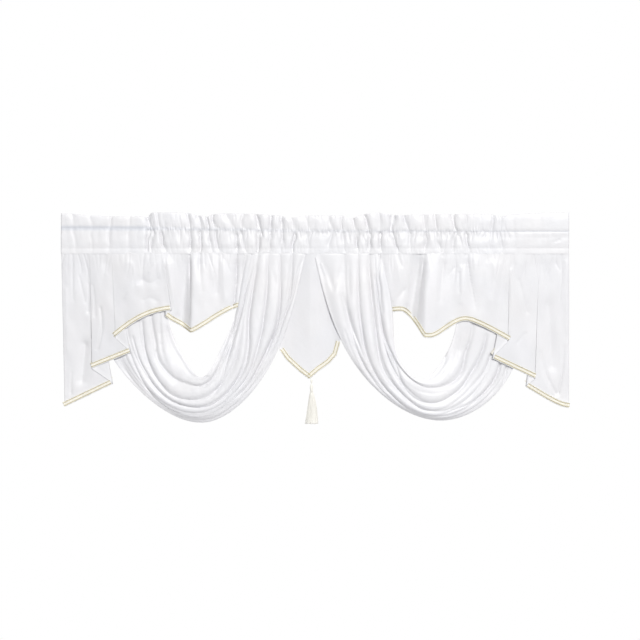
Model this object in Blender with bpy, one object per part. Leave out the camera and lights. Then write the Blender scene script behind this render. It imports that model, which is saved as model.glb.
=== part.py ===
"""Short curtain: a white satin swag valance, built from the pieces that are cut and sewn for it.

A gathered heading with a stand-up ruffle and an open rod pocket carries two folded tails, two swags
and a pointed middle panel. Braid edges the tails and the point, and a tassel hangs from the point.

All sizes are millimetres. x runs to the right, drop is measured down from the top edge and forward
is measured out toward the room. The origin is the middle of the top edge.
"""

import math

import bmesh
import bpy
import numpy as np

MM = 0.001

# Cloth, seams and clearances
CLOTH = 1.5                  # thickness of a satin sheet
SEAM_DROP = 104.5            # underside of the heading, where the panels are sewn on
SEAM_GAP = 0.4               # air between the heading and the panels' top edges

# Where each layer stands at the seam
SWAG_FRONT_LAYER = 4.0
TAIL_LAYER = -0.5
SWAG_BACK_LAYER = -5.5

# Heading: the folds in the gathered strip, from left to right, as the photo shows them.
# x at the top edge, x at the stitch line, x at the seam, rise of the top edge, bump to the next fold
HEADING_FOLDS = (
    (-700, -700, -700, 6, 2.2),
    (-670, -664, -659, 5, 3.0),
    (-620, -615, -615, 0, 3.0),
    (-559, -568, -568, -3, 3.8),
    (-510, -513, -515, -3, 3.8),
    (-461, -456, -466, -3, 2.2),
    (-451, -447, -452, 8, 5.2),
    (-435, -427, -413, 9, 7.5),
    (-350, -344, -342, 7, 8.2),
    (-322, -314, -317, 0, 7.5),
    (-298, -295, -284, -4, 6.0),
    (-284, -276, -265, 3, 9.0),
    (-245, -218, -215, 6, 7.5),
    (-198, -207, -190, 5, 10.5),
    (-160, -154, -160, 4, 10.5),
    (-121, -124, -127, 1, 9.0),
    (-94, -91, -94, -1, 8.2),
    (-69, -55, -63, -8, 7.5),
    (-28, -19, -19, -1, 6.0),
    (36, 50, 33, 0, 6.8),
    (72, 74, 83, 0, 7.5),
    (102, 113, 116, -9, 9.0),
    (135, 149, 149, 4, 10.5),
    (176, 179, 182, 8, 11.2),
    (215, 209, 231, 1, 10.5),
    (245, 259, 265, 1, 9.0),
    (298, 306, 303, 3, 8.2),
    (333, 331, 347, 3, 9.0),
    (380, 386, 378, 4, 9.0),
    (416, 416, 424, 4, 7.5),
    (491, 488, 480, 2, 4.5),
    (513, 510, 515, -4, 4.5),
    (548, 546, 554, 3, 3.8),
    (620, 623, 623, 6, 3.0),
    (700, 700, 700, 8, 0.0),
)

# The stitch line under the ruffle: x, drop
STITCH_LINE = (
    (-700, 36),
    (-450, 37),
    (-210, 40),
    (-40, 44),
    (235, 44.5),
    (700, 45.5),
)

# Ruffle from top to stitch line: name, front, back, share of the folds' bump in front and at the back
RUFFLE_LEVELS = (
    ("top", -1.8, -4.2, 1.0, 1.0),
    ("middle", -1.4, -3.8, 0.8, 0.8),
    ("stitch", 1.0, -1.8, 0.3, 0.2),
)
RUFFLE_CENTRE = 18           # drop of the ruffle's middle row

# Rod pocket: name, drop, front, back, channel front, channel back, share of the bump
POCKET_LEVELS = (
    ("channel top", 48, 4.2, -3.6, 2.4, -2.0, 0.40),
    ("shoulder", 56, 6.8, -5.8, 5.2, -4.2, 0.50),
    ("low", 97, 7.2, -6.2, 5.6, -4.6, 0.45),
    ("floor", 101.5, 7.2, -6.2, 3.6, -3.2, 0.30),
)
POCKET_BACK_SHARE = -0.3     # the back stands out less than the front, and to the rear
LIP_DROP = 107.5             # front lower edge, which hides the seam
LIP_FRONT = 7.8
LIP_BACK = 6.4
UNDERSIDE_BACK = -7.0
NARROW_GATHER = 45           # a gather wider than this gets one more column

# Tails: one row for each fold or turn of the section, from the outer edge to the inner one.
# name, x at seam, x at hem, drop of the hem, forward of the layer before, forward of the layer after
TAIL_LEFT = (
    ("outer edge", -699, -693, 532, -3, -3),
    ("tier 1 fold", -625, -556, 465, -3, 3),
    ("tier 2 outer fold", -617, -617, 423, 3, 9),
    ("tier 2 fold", -563, -507, 379, 9, 15),
    ("tier 3 outer fold", -555, -552, 338, 15, 21),
    ("tier 3 shoulder", -512, -515, 308, 22, 22),
    ("tier 3 middle", -478, -482, 287, 22.5, 22.5),
    ("tier 3 inner side", -446, -444, 270, 22, 22),
    ("tuck fold", -420, -394, 262, 21, 15),
    ("tuck inner fold", -412, -414, 279, 15, 9),
    ("slope", -376, -378, 303, 8, 8),
    ("groove edge", -356, -359, 318, 6, 6),
    ("groove", -345, -347, 325, -11, -11),
    ("groove rise", -335, -334, 325, 9, 9),
    ("ridge", -306, -304, 307, 14, 14),
    ("soft groove", -274, -272, 285, 8, 8),
    ("inner ridge", -247, -245, 270, 8, 8),
    ("inner edge", -178, -188, 250, 2, 2),
)
TAIL_RIGHT = (
    ("outer edge", 700, 700, 532, -3, -3),
    ("tier 1 corner", 668, 668, 527, -2, -2),
    ("tier 1 fold", 627, 579, 473, -3, 3),
    ("tier 2 outer fold", 619, 608, 452, 3, 9),
    ("tier 2 fold", 544, 487, 395, 9, 15),
    ("tier 3 outer fold", 536, 533, 347, 15, 21),
    ("tier 3 shoulder", 482, 482, 318, 22, 22),
    ("tier 3 inner side", 446, 441, 299, 20, 20),
    ("crest", 414, 407, 286, 16, 16),
    ("soft groove", 372, 360, 318, 10, 10),
    ("ridge", 330, 328, 340, 16, 16),
    ("ridge edge", 312, 300, 338, 14, 14),
    ("groove", 304, 276, 310, -4, -4),
    ("inner rise", 288, 256, 278, -6, -6),
    ("inner ridge", 250, 240, 263, 7, 7),
    ("inner dip", 218, 216, 268, 5, 5),
    ("inner edge", 158, 160, 272, 0, 0),
)
TAIL_LEVELS = (0.0, 0.06, 0.16, 0.34, 0.62, 1.0)
TAIL_STEPS = 2               # columns for each span between the section's turns
SETBACK_HEM = 9.0            # how tightly a fold turns, at the hem and at the seam
SETBACK_SEAM = 2.0
FORWARD_AT_SEAM = 0.12       # share of a fold's depth that shows at the seam
FORWARD_POWER = 2.8

# Swags: one row for each fold line, from the bowl's upper edge to its lower one.
# x at the back layer's seam, x of that leg, its lower turn (x, drop), bottom (x, drop),
# the front leg's turn (x, drop), x of the front leg, x at the front layer's seam
SWAG_LEFT = (
    ("upper edge", -419, -404, -361, 393, -311, 446, -265, 383, -229, -193),
    ("fold 1", -455, -453, -419, 419, -309, 467, -256, 416, -218, -175),
    ("fold 2", -485, -486, -441, 444, -344, 507, -254, 463, -200, -167),
    ("fold 3", -521, -521, -457, 452, -328, 529, -218, 459, -183, -158),
    ("fold 4", -546, -548, -466, 475, -320, 544, -198, 462, -144, -128),
    ("fold 5", -573, -570, -468, 481, -311, 557, -187, 467, -108, -96),
    ("fold 6", -601, -590, -471, 487, -306, 564, -179, 477, -95, -63),
    ("lower edge", -631, -606, -473, 494, -300, 571, -174, 488, -76, -25),
)
SWAG_RIGHT = (
    ("upper edge", 391, 378, 346, 408, 292, 452, 231, 400, 215, 179),
    ("fold 1", 446, 426, 389, 441, 322, 475, 237, 424, 182, 164),
    ("fold 2", 496, 471, 411, 463, 320, 517, 244, 467, 177, 157),
    ("fold 3", 540, 502, 445, 480, 325, 540, 218, 466, 165, 149),
    ("fold 4", 576, 531, 466, 489, 339, 554, 198, 482, 126, 119),
    ("fold 5", 595, 557, 480, 494, 353, 560, 181, 480, 95, 83),
    ("lower edge", 615, 577, 493, 499, 358, 566, 165, 477, 48, -4),
)
SWAG_LEG_DROPS_LEFT = (289, 303)    # drops of the back leg and the front leg stations
SWAG_LEG_DROPS_RIGHT = (344, 290)
SWAG_FORWARD = (SWAG_BACK_LAYER, -13, 3, 20, 24, 18, SWAG_FRONT_LAYER)
SWAG_LEAN = (0, 8, 5, 0, 0, 0, 0)   # how much further forward the upper edge stands at each station
SWAG_BELLY = (0, 0, 5, 12, 9, 4, 0)
SWAG_STEPS = (3, 4, 4, 4, 4, 3)     # rows of the mesh between the seven stations
SWAG_COLUMNS = 3                    # columns between two fold lines
RIDGE_RATIO = 0.30                  # how far a ridge stands forward, for its width
RIDGE_MOST = 9.0
RIDGE_AT_BACK_SEAM = 0.05
RIDGE_AT_FRONT_SEAM = 0.10
RIDGE_POWER = 0.7                   # how soon a ridge grows away from the seam

# Middle panel: x at seam, x at hem, drop of the hem, forward
CENTRE_PANEL = (
    (-92, -98, 373, 0.0),
    (-76, -80, 399, 1.5),
    (-43, -45, 431, 2.5),
    (-15, -16, 453, 3.0),
    (9, 10, 431, 3.0),
    (38, 42, 408, 2.5),
    (57, 61, 386, 0.5),
    (68, 71, 350, -2.5),
)
PANEL_LEVELS = (0.0, 0.25, 0.6, 1.0)

# Braid: a ridged strip laid on the cloth's face along the hem
BRAID_WIDTH = 15.0
BRAID_THICKNESS = 1.8
BRAID_EDGE = 0.6             # cloth that shows below the braid
BRAID_LIFT = 0.3
BRAID_SECTION = (            # share of the width, share of the thickness
    (0.0, 0.45),
    (0.26, 1.0),
    (0.5, 0.55),
    (0.74, 1.0),
    (1.0, 0.45),
)

# Tassel: drop and radius down its cord, knot and head, then the skirt of strands
TASSEL_X = -9.5
TASSEL_FORWARD = 0.3
TASSEL_PROFILE = (
    (440, 1.1),
    (453, 1.1),
    (456, 2.5),
    (460, 2.9),
    (463, 1.9),
    (466, 1.8),
    (469, 3.6),
    (475, 4.6),
    (481, 4.3),
    (485, 3.4),
    (487, 3.4),
    (490, 4.8),
)
TASSEL_SIDES = 12
TASSEL_RING_SHARES = (0.68, 0.36)   # radii of the root rings, as shares of the skirt's root
SKIRT_BOTTOM = 576.0
SKIRT_RADIUS = 18.5
SKIRT_FLATNESS = 0.75
SKIRT_BULGE_X = 2.0
STRAND_HALF_WIDTH = 0.75
STRAND_INSET = 0.14
STRAND_STATIONS = (          # share of the skirt's length, share of its full spread
    (0.3, 0.62),
    (1.0, 1.0),
)

# Colours and finish
SATIN_COLOUR = (0.86, 0.86, 0.88, 1.0)
SATIN_ROUGHNESS = 0.42
BRAID_COLOUR = (0.70, 0.62, 0.44, 1.0)
BRAID_ROUGHNESS = 0.55
YARN_COLOUR = (0.88, 0.84, 0.74, 1.0)
YARN_ROUGHNESS = 0.60


def clear_scene():
    """Removes whatever the open file holds."""
    for item in list(bpy.data.objects):
        bpy.data.objects.remove(item, do_unlink=True)


def make_material(name, colour, roughness):
    """A Principled material of one colour."""
    material = bpy.data.materials.new(name)
    material.use_nodes = True
    shader = material.node_tree.nodes["Principled BSDF"]
    shader.inputs["Base Color"].default_value = colour
    shader.inputs["Roughness"].default_value = roughness
    shader.inputs["Metallic"].default_value = 0.0
    return material


def to_world(point):
    """Turns (x, drop, forward) in millimetres into a place in metres."""
    x, drop, forward = point
    return (x * MM, -forward * MM, -drop * MM)


def add_object(name, points, faces, material):
    """Makes one named object from points in (x, drop, forward)."""
    mesh = bpy.data.meshes.new(name)
    mesh.from_pydata([to_world(p) for p in points], [], faces)
    mesh.materials.append(material)
    mesh.shade_smooth()
    item = bpy.data.objects.new(name, mesh)
    bpy.context.collection.objects.link(item)
    return item


def face_outward(item):
    """Turns the faces of a closed mesh outward."""
    bm = bmesh.new()
    bm.from_mesh(item.data)
    bmesh.ops.recalc_face_normals(bm, faces=bm.faces)
    bm.to_mesh(item.data)
    bm.free()


def grid_faces(rows, columns):
    """Four-sided faces of a grid whose points run row by row."""
    faces = []
    for r in range(rows - 1):
        for c in range(columns - 1):
            a = r * columns + c
            faces.append((a, a + 1, a + columns + 1, a + columns))
    return faces


def add_sheet(name, grid, material):
    """Makes a sheet of cloth of even thickness from the grid of its middle surface."""
    rows, columns, _ = grid.shape
    item = add_object(name, grid.reshape(-1, 3), grid_faces(rows, columns), material)
    cloth = item.modifiers.new("cloth", "SOLIDIFY")
    cloth.thickness = CLOTH * MM
    cloth.offset = 0.0
    cloth.use_quality_normals = True
    return item


def b_spline(controls, steps):
    """Reads a smooth cubic curve that starts and ends at the first and last control rows."""
    c = np.array(controls, dtype=float)
    c = np.vstack([c[0], c[0], c, c[-1], c[-1]])
    samples = []
    for i in range(len(c) - 3):
        for k in range(steps):
            u = k / steps
            weights = np.array([
                (1 - u) ** 3,
                3 * u ** 3 - 6 * u ** 2 + 4,
                -3 * u ** 3 + 3 * u ** 2 + 3 * u + 1,
                u ** 3,
            ]) / 6
            samples.append(weights @ c[i:i + 4])
    samples.append(c[-1])
    return np.array(samples)


def natural_spline(knots, values, places):
    """Natural cubic spline through the rows of values, read at places."""
    n = len(knots)
    step = np.diff(knots)
    slope = np.diff(values, axis=0) / step[:, None]
    matrix = np.eye(n)
    right = np.zeros_like(values)
    for i in range(1, n - 1):
        matrix[i, i - 1] = step[i - 1]
        matrix[i, i] = 2 * (step[i - 1] + step[i])
        matrix[i, i + 1] = step[i]
        right[i] = 6 * (slope[i] - slope[i - 1])
    bend = np.linalg.solve(matrix, right)
    span = np.clip(np.searchsorted(knots, places, side="right") - 1, 0, n - 2)
    h = step[span][:, None]
    a = (knots[span + 1] - places)[:, None]
    b = (places - knots[span])[:, None]
    low = bend[span] * a ** 3 / (6 * h) + (values[span] / h - bend[span] * h / 6) * a
    high = bend[span + 1] * b ** 3 / (6 * h) + (values[span + 1] / h - bend[span + 1] * h / 6) * b
    return low + high


def heading_columns():
    """Columns of the heading: x at top, stitch and seam, rise of the top edge, and bump."""
    columns = []
    for here, after in zip(HEADING_FOLDS, HEADING_FOLDS[1:]):
        width = after[2] - here[2]
        parts = 3 if width > NARROW_GATHER else 2
        for k in range(parts):
            share = k / parts
            between = [a + (b - a) * share for a, b in zip(here[:4], after[:4])]
            columns.append((*between, here[4] * math.sin(math.pi * share)))
    columns.append((*HEADING_FOLDS[-1][:4], 0.0))
    return columns


def heading_section(column):
    """Outer outline and channel outline of the heading at one column."""
    x_top, x_stitch, x_seam, rise, bump = column
    stitch = float(np.interp(x_stitch, *zip(*STITCH_LINE)))
    drops = (-rise, RUFFLE_CENTRE, stitch)
    places = (x_top, (x_top + x_stitch) / 2, x_stitch)
    front = []
    back = []
    channel_front = []
    channel_back = []
    for x, drop, level in zip(places, drops, RUFFLE_LEVELS):
        front.append((x, drop, level[1] + bump * level[3]))
        back.append((x, drop, level[2] + bump * level[4]))
    for _, drop, out, behind, inner_out, inner_behind, share in POCKET_LEVELS:
        x = x_stitch + (x_seam - x_stitch) * (drop - stitch) / (LIP_DROP - stitch)
        ahead = bump * share
        rear = ahead * POCKET_BACK_SHARE
        front.append((x, drop, out + ahead))
        back.append((x, drop, behind + rear))
        channel_front.append((x, drop, inner_out + ahead))
        channel_back.append((x, drop, inner_behind + rear))
    ahead = bump * POCKET_LEVELS[-1][-1]
    lip = [
        (x_seam, LIP_DROP, LIP_FRONT + ahead),
        (x_seam, LIP_DROP, LIP_BACK + ahead),
        (x_seam, SEAM_DROP, LIP_BACK + ahead),
        (x_seam, SEAM_DROP, UNDERSIDE_BACK),
    ]
    return front + lip + back[::-1], channel_front + channel_back[::-1]


def cap_faces(outer, inner):
    """Faces that close one open end of the heading around its channel."""
    ruffle = len(RUFFLE_LEVELS)
    pocket = len(POCKET_LEVELS)
    front = ruffle + pocket
    last = len(outer) - 1
    faces = []
    for i in range(ruffle - 1):
        faces.append((outer[i], outer[i + 1], outer[last - i - 1], outer[last - i]))
    shoulder = [outer[ruffle - 1], outer[ruffle], inner[0], inner[-1]]
    faces.append((*shoulder, outer[last - ruffle], outer[last - ruffle + 1]))
    for k in range(pocket - 1):
        i = ruffle + k
        faces.append((outer[i], outer[i + 1], inner[k + 1], inner[k]))
        j = last - i
        faces.append((outer[j - 1], outer[j], inner[-1 - k], inner[-2 - k]))
    floor_front = inner[pocket - 1]
    floor_back = inner[pocket]
    faces.append((outer[front - 1], outer[front], outer[front + 1], outer[front + 2]))
    under = (outer[front - 1], outer[front + 2], outer[front + 3], outer[front + 4])
    faces.append((*under, floor_back, floor_front))
    return faces


def build_heading(material):
    """The gathered strip: ruffle above, rod pocket open at both ends below."""
    points = []
    outer_rings = []
    inner_rings = []
    for column in heading_columns():
        outer, inner = heading_section(column)
        start = len(points)
        points += outer + inner
        outer_rings.append(list(range(start, start + len(outer))))
        inner_rings.append(list(range(start + len(outer), len(points))))
    faces = []
    for rings in (outer_rings, inner_rings):
        for here, after in zip(rings, rings[1:]):
            for k in range(len(here)):
                m = (k + 1) % len(here)
                faces.append((here[k], here[m], after[m], after[k]))
    faces += cap_faces(outer_rings[0], inner_rings[0])
    faces += cap_faces(outer_rings[-1], inner_rings[-1])
    face_outward(add_object("heading", points, faces, material))


def fold_controls(rows):
    """Control rows of a tail's section. A fold becomes four rows, so that the cloth turns round it."""
    controls = []
    for i, (_, x_seam, x_hem, drop, before, after) in enumerate(rows):
        if before == after:
            controls.append((x_seam, x_hem, drop, after))
            continue
        for other, forward in ((rows[i - 1], before), (rows[i + 1], after)):
            reach = SETBACK_HEM / abs(other[2] - x_hem)
            seam_side = math.copysign(SETBACK_SEAM, other[1] - x_seam)
            set_back = (
                x_seam + seam_side,
                x_hem + (other[2] - x_hem) * reach,
                drop + (other[3] - drop) * reach,
                forward,
            )
            turn = (x_seam, x_hem, drop, forward)
            controls += [set_back, turn] if other is rows[i - 1] else [turn, set_back]
    return controls


def tail_grid(rows):
    """Middle surface of a tail, from the seam down to the hem."""
    section = b_spline(fold_controls(rows), TAIL_STEPS)
    x_seam, x_hem, hem, forward = section.T
    top = SEAM_DROP + SEAM_GAP
    grid = []
    for level in TAIL_LEVELS:
        ramp = FORWARD_AT_SEAM + (1 - FORWARD_AT_SEAM) * (1 - (1 - level) ** FORWARD_POWER)
        x = x_seam + (x_hem - x_seam) * level
        drop = top + (hem - top) * level
        grid.append(np.stack([x, drop, TAIL_LAYER + forward * ramp], axis=1))
    return np.array(grid)


def swag_lines(rows, leg_drops):
    """Each fold line of a swag as a smooth U through its seven stations."""
    top = SEAM_DROP + SEAM_GAP
    back_leg, front_leg = leg_drops
    lines = []
    for i, row in enumerate(rows):
        belly = math.sin(math.pi * i / (len(rows) - 1))
        flat = np.array([
            (row[1], top),
            (row[2], back_leg),
            (row[3], row[4]),
            (row[5], row[6]),
            (row[7], row[8]),
            (row[9], front_leg),
            (row[10], top),
        ], dtype=float)
        lean = 1 - i / (len(rows) - 1)
        forward = np.array(SWAG_FORWARD) + belly * np.array(SWAG_BELLY) + lean * np.array(SWAG_LEAN)
        knots = np.concatenate([[0], np.cumsum(np.hypot(*np.diff(flat, axis=0).T))])
        places = []
        for k, steps in enumerate(SWAG_STEPS):
            places += list(np.linspace(knots[k], knots[k + 1], steps, endpoint=False))
        places.append(knots[-1])
        values = np.column_stack([flat, forward])
        lines.append(natural_spline(knots, values, np.array(places)))
    return np.array(lines)


def swag_grid(rows, leg_drops):
    """Middle surface of a swag: ridges stand forward between its fold lines."""
    lines = swag_lines(rows, leg_drops)
    stations = np.linspace(0, 1, lines.shape[1])
    at_seam = RIDGE_AT_BACK_SEAM + (RIDGE_AT_FRONT_SEAM - RIDGE_AT_BACK_SEAM) * stations
    calm = at_seam + (1 - at_seam) * np.sin(math.pi * stations) ** RIDGE_POWER
    columns = []
    for here, after in zip(lines, lines[1:]):
        width = np.linalg.norm((after - here)[:, :2], axis=1)
        height = np.minimum(width * RIDGE_RATIO, RIDGE_MOST) * calm
        for k in range(SWAG_COLUMNS):
            share = k / SWAG_COLUMNS
            column = here + (after - here) * share
            column[:, 2] += height * math.sin(math.pi * share)
            columns.append(column)
    columns.append(lines[-1])
    grid = np.array(columns).transpose(1, 0, 2)
    grid[0, :, 1] = SEAM_DROP + SEAM_GAP
    grid[-1, :, 1] = SEAM_DROP + SEAM_GAP
    return grid


def panel_grid():
    """Middle surface of the pointed panel, with one column between each pair of rows."""
    rows = np.array(CENTRE_PANEL, dtype=float)
    middles = (rows[:-1] + rows[1:]) / 2
    section = np.insert(rows, range(1, len(rows)), middles, axis=0)
    top = SEAM_DROP + SEAM_GAP
    grid = []
    for level in PANEL_LEVELS:
        x = section[:, 0] + (section[:, 1] - section[:, 0]) * level
        drop = top + (section[:, 2] - top) * level
        grid.append(np.stack([x, drop, TAIL_LAYER + section[:, 3] * level], axis=1))
    return np.array(grid)


def build_braid(name, cloth, face_side, material):
    """Lays a ridged strip on the face of a sheet, along its hem."""
    hem = cloth[-1]
    above = cloth[-2]
    along = np.gradient(hem, axis=0)
    along /= np.linalg.norm(along, axis=1)[:, None]
    up = above - hem
    reach = np.linalg.norm(up, axis=1)
    up /= reach[:, None]
    normal = np.cross(along, up)
    slant = np.linalg.norm(normal, axis=1)
    normal *= face_side / slant[:, None]
    back = CLOTH / 2 + BRAID_LIFT
    points = []
    for c in range(len(hem)):
        width = BRAID_WIDTH / slant[c]
        start = hem[c] + up[c] * BRAID_EDGE / slant[c]
        for share, lift in BRAID_SECTION:
            points.append(start + up[c] * width * share + normal[c] * (back + BRAID_THICKNESS * lift))
        points.append(start + up[c] * width + normal[c] * back)
        points.append(start + normal[c] * back)
    ring = len(BRAID_SECTION) + 2
    faces = []
    for c in range(len(hem) - 1):
        for k in range(ring):
            m = (k + 1) % ring
            a = c * ring
            faces.append((a + k, a + m, a + ring + m, a + ring + k))
    faces.append(tuple(range(ring)))
    faces.append(tuple(range((len(hem) - 1) * ring, len(hem) * ring)))
    face_outward(add_object(name, points, faces, material))


def place_ring(bm, drop, radius, flatness=1.0):
    """Adds one ring of the tassel's turned form."""
    ring = []
    for k in range(TASSEL_SIDES):
        angle = 2 * math.pi * k / TASSEL_SIDES
        x = TASSEL_X + radius * math.cos(angle)
        forward = TASSEL_FORWARD + radius * flatness * math.sin(angle)
        ring.append(bm.verts.new(to_world((x, drop, forward))))
    return ring


def join_rings(bm, upper, lower):
    """Closes the band between two rings and returns its faces."""
    faces = []
    for k in range(TASSEL_SIDES):
        m = (k + 1) % TASSEL_SIDES
        faces.append(bm.faces.new((upper[k], upper[m], lower[m], lower[k])))
    return faces


def grow_strand(bm, face):
    """Draws one strand of the skirt down from its root face."""
    start = face.calc_center_median()
    root_x = start.x / MM - TASSEL_X
    root_forward = -start.y / MM - TASSEL_FORWARD
    root_radius = TASSEL_PROFILE[-1][1]
    root_drop = TASSEL_PROFILE[-1][0]
    for share, spread in STRAND_STATIONS:
        drop = root_drop + (SKIRT_BOTTOM - root_drop) * share
        scale = SKIRT_RADIUS / root_radius * spread
        x = TASSEL_X + root_x * scale + SKIRT_BULGE_X * math.sin(math.pi * share)
        forward = TASSEL_FORWARD + root_forward * scale * SKIRT_FLATNESS
        result = bmesh.ops.extrude_discrete_faces(bm, faces=[face])
        face = result["faces"][0]
        middle = face.calc_center_median()
        target = to_world((x, drop, forward))
        size = max((v.co - middle).length for v in face.verts)
        for vert in face.verts:
            offset = (vert.co - middle) * (STRAND_HALF_WIDTH * MM / size)
            vert.co.x = target[0] + offset.x
            vert.co.y = target[1] + offset.y
            vert.co.z = target[2]


def build_tassel(material):
    """Cord, knot, head and skirt in one closed form."""
    bm = bmesh.new()
    rings = [place_ring(bm, drop, radius) for drop, radius in TASSEL_PROFILE]
    bm.faces.new(rings[0])
    for upper, lower in zip(rings, rings[1:]):
        join_rings(bm, upper, lower)
    root_drop, root_radius = TASSEL_PROFILE[-1]
    roots = []
    outer = rings[-1]
    for share in TASSEL_RING_SHARES:
        inner = place_ring(bm, root_drop, root_radius * share)
        roots += join_rings(bm, outer, inner)
        outer = inner
    roots.append(bm.faces.new(outer))
    bmesh.ops.recalc_face_normals(bm, faces=bm.faces)
    bmesh.ops.inset_individual(bm, faces=roots, thickness=STRAND_INSET * MM)
    for face in roots:
        grow_strand(bm, face)
    mesh = bpy.data.meshes.new("tassel")
    bm.to_mesh(mesh)
    bm.free()
    mesh.materials.append(material)
    item = bpy.data.objects.new("tassel", mesh)
    bpy.context.collection.objects.link(item)
    face_outward(item)


def main():
    """Builds every piece of the curtain."""
    clear_scene()
    satin = make_material("satin", SATIN_COLOUR, SATIN_ROUGHNESS)
    braid = make_material("braid", BRAID_COLOUR, BRAID_ROUGHNESS)
    yarn = make_material("tassel yarn", YARN_COLOUR, YARN_ROUGHNESS)
    build_heading(satin)
    tail_left = tail_grid(TAIL_LEFT)
    tail_right = tail_grid(TAIL_RIGHT)
    panel = panel_grid()
    add_sheet("jabot_left", tail_left, satin)
    add_sheet("jabot_right", tail_right, satin)
    add_sheet("swag_left", swag_grid(SWAG_LEFT, SWAG_LEG_DROPS_LEFT), satin)
    add_sheet("swag_right", swag_grid(SWAG_RIGHT, SWAG_LEG_DROPS_RIGHT), satin)
    add_sheet("centre_panel", panel, satin)
    build_braid("braid_left", tail_left, -1, braid)
    build_braid("braid_right", tail_right, 1, braid)
    build_braid("braid_centre", panel, -1, braid)
    build_tassel(yarn)


main()
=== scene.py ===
"""Short curtain: the looks of a white satin swag valance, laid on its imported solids.

Sizes are millimetres in the tables: x runs to the right, drop is measured down from the top edge and
forward is measured out toward the room. Each piece of cloth is a thin sheet on its solid's folds.
"""

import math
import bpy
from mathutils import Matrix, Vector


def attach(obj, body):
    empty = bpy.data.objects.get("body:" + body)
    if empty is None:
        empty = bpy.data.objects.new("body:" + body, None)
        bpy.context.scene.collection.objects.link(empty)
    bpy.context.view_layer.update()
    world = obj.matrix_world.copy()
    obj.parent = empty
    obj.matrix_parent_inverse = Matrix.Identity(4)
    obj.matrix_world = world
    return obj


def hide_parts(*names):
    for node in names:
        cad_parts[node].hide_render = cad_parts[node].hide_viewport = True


bl_info = {
    "name": "Satin Swag Valance",
    "version": (1, 0, 0),
    "blender": (4, 5, 0),
    "location": "View3D > Sidebar > Valance",
    "description": "Makes the cloth, braid and tassel of a short swag valance",
    "category": "Object",
}

import bpy
import numpy as np

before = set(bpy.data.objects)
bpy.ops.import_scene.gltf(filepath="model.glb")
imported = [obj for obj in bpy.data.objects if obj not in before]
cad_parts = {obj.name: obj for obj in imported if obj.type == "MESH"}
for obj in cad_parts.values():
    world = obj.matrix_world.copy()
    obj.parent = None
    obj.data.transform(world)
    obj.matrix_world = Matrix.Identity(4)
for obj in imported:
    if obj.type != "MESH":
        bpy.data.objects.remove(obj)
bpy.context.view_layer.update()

MM = 0.001
ROOT = "root"

# An uneven field adds this many waves, with pitches between these shares of its own
WANDER_WAVES = 7
WANDER_PITCHES = (0.6, 1.7)

# Seams, and how far forward each layer of cloth starts from them
SEAM_TOP = 102.5             # the panels' top edges, tucked up inside the heading's seam
SEAM_DROP = 104.9            # where the panels leave the seam
SWAG_FRONT_LAYER = 0.2
TAIL_LAYER = 1.4
PANEL_LAYER = -0.5
SWAG_BACK_LAYER = -4.0

# Heading: the folds of the gathered strip from left to right.
# x at the top edge, at the stitch line and at the seam, rise of the top edge, swell to the next fold,
# depth of the fold's crease in the ruffle and in the pocket
HEADING_FOLDS = (
    (-700, -700, -700, 6, 1.4, 0.0, 0.0),
    (-670, -664, -659, 5, 2.0, 0.8, 0.6),
    (-620, -615, -615, 0, 2.0, 0.8, 0.6),
    (-559, -568, -568, -3, 2.4, 1.6, 1.2),
    (-510, -513, -515, -3, 2.4, 1.2, 0.8),
    (-461, -456, -466, -3, 1.5, 5.5, 4.5),
    (-451, -447, -452, 8, 3.4, 0.5, 2.5),
    (-435, -427, -413, 9, 5.0, 1.5, 3.5),
    (-350, -344, -342, 7, 5.4, 3.0, 5.5),
    (-322, -314, -317, 0, 5.0, 1.5, 4.5),
    (-298, -295, -284, -4, 4.0, 5.5, 1.5),
    (-284, -276, -265, 3, 6.0, 4.5, 2.5),
    (-245, -218, -215, 6, 5.0, 0.8, 3.0),
    (-198, -207, -190, 5, 7.0, 1.5, 1.5),
    (-160, -154, -160, 4, 7.0, 7.0, 7.0),
    (-121, -124, -127, 1, 6.0, 6.0, 2.5),
    (-94, -91, -94, -1, 5.4, 4.5, 1.5),
    (-69, -55, -63, -8, 5.0, 1.0, 4.5),
    (-28, -19, -19, -1, 4.0, 1.0, 1.0),
    (36, 50, 33, 0, 4.5, 1.2, 1.2),
    (72, 74, 83, 0, 5.0, 1.5, 1.2),
    (102, 113, 116, -9, 6.0, 2.0, 3.0),
    (135, 149, 149, 4, 7.0, 5.5, 6.5),
    (176, 179, 182, 8, 7.5, 1.0, 7.0),
    (215, 209, 231, 1, 7.0, 7.5, 5.0),
    (245, 259, 265, 1, 6.0, 4.5, 1.0),
    (298, 306, 303, 3, 5.5, 1.5, 2.5),
    (333, 331, 347, 3, 6.0, 3.5, 1.5),
    (380, 386, 378, 4, 6.0, 8.0, 2.5),
    (416, 416, 424, 4, 5.0, 1.0, 4.5),
    (491, 488, 480, 2, 3.0, 4.0, 1.0),
    (513, 510, 515, -4, 3.0, 1.0, 1.0),
    (548, 546, 554, 3, 2.5, 0.6, 0.6),
    (620, 623, 623, 6, 2.0, 0.3, 0.3),
    (700, 700, 700, 8, 0.0, 0.0, 0.0),
)
CREASE_WIDTH = 3.7           # half width of a heading crease where it is deepest
CREASE_SHARE = 1.95          # depth of the heading's creases against their table
CREASE_MOST = 8.5            # the deepest crease leaves the rod's room open behind it
CREASE_WANDER = 1.6          # how far a heading crease strays to either side
CREASE_STRAYS = (45, 8)      # pitch and seed of that field, and how much faster it changes downwards
CREASE_STRAYS_DOWN = 1.5
CREASE_DEPTH_VARIES = 0.35   # share by which a crease's depth changes on its way down, pitch and seed
CREASE_DEPTHS = (38, 9)
CREASE_WIDTH_VARIES = 0.3    # the same for its width
CREASE_WIDTHS = (50, 60)
CREASE_FIELD_ACROSS = 0.4    # those two fields change slowly from one crease to the next
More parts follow.
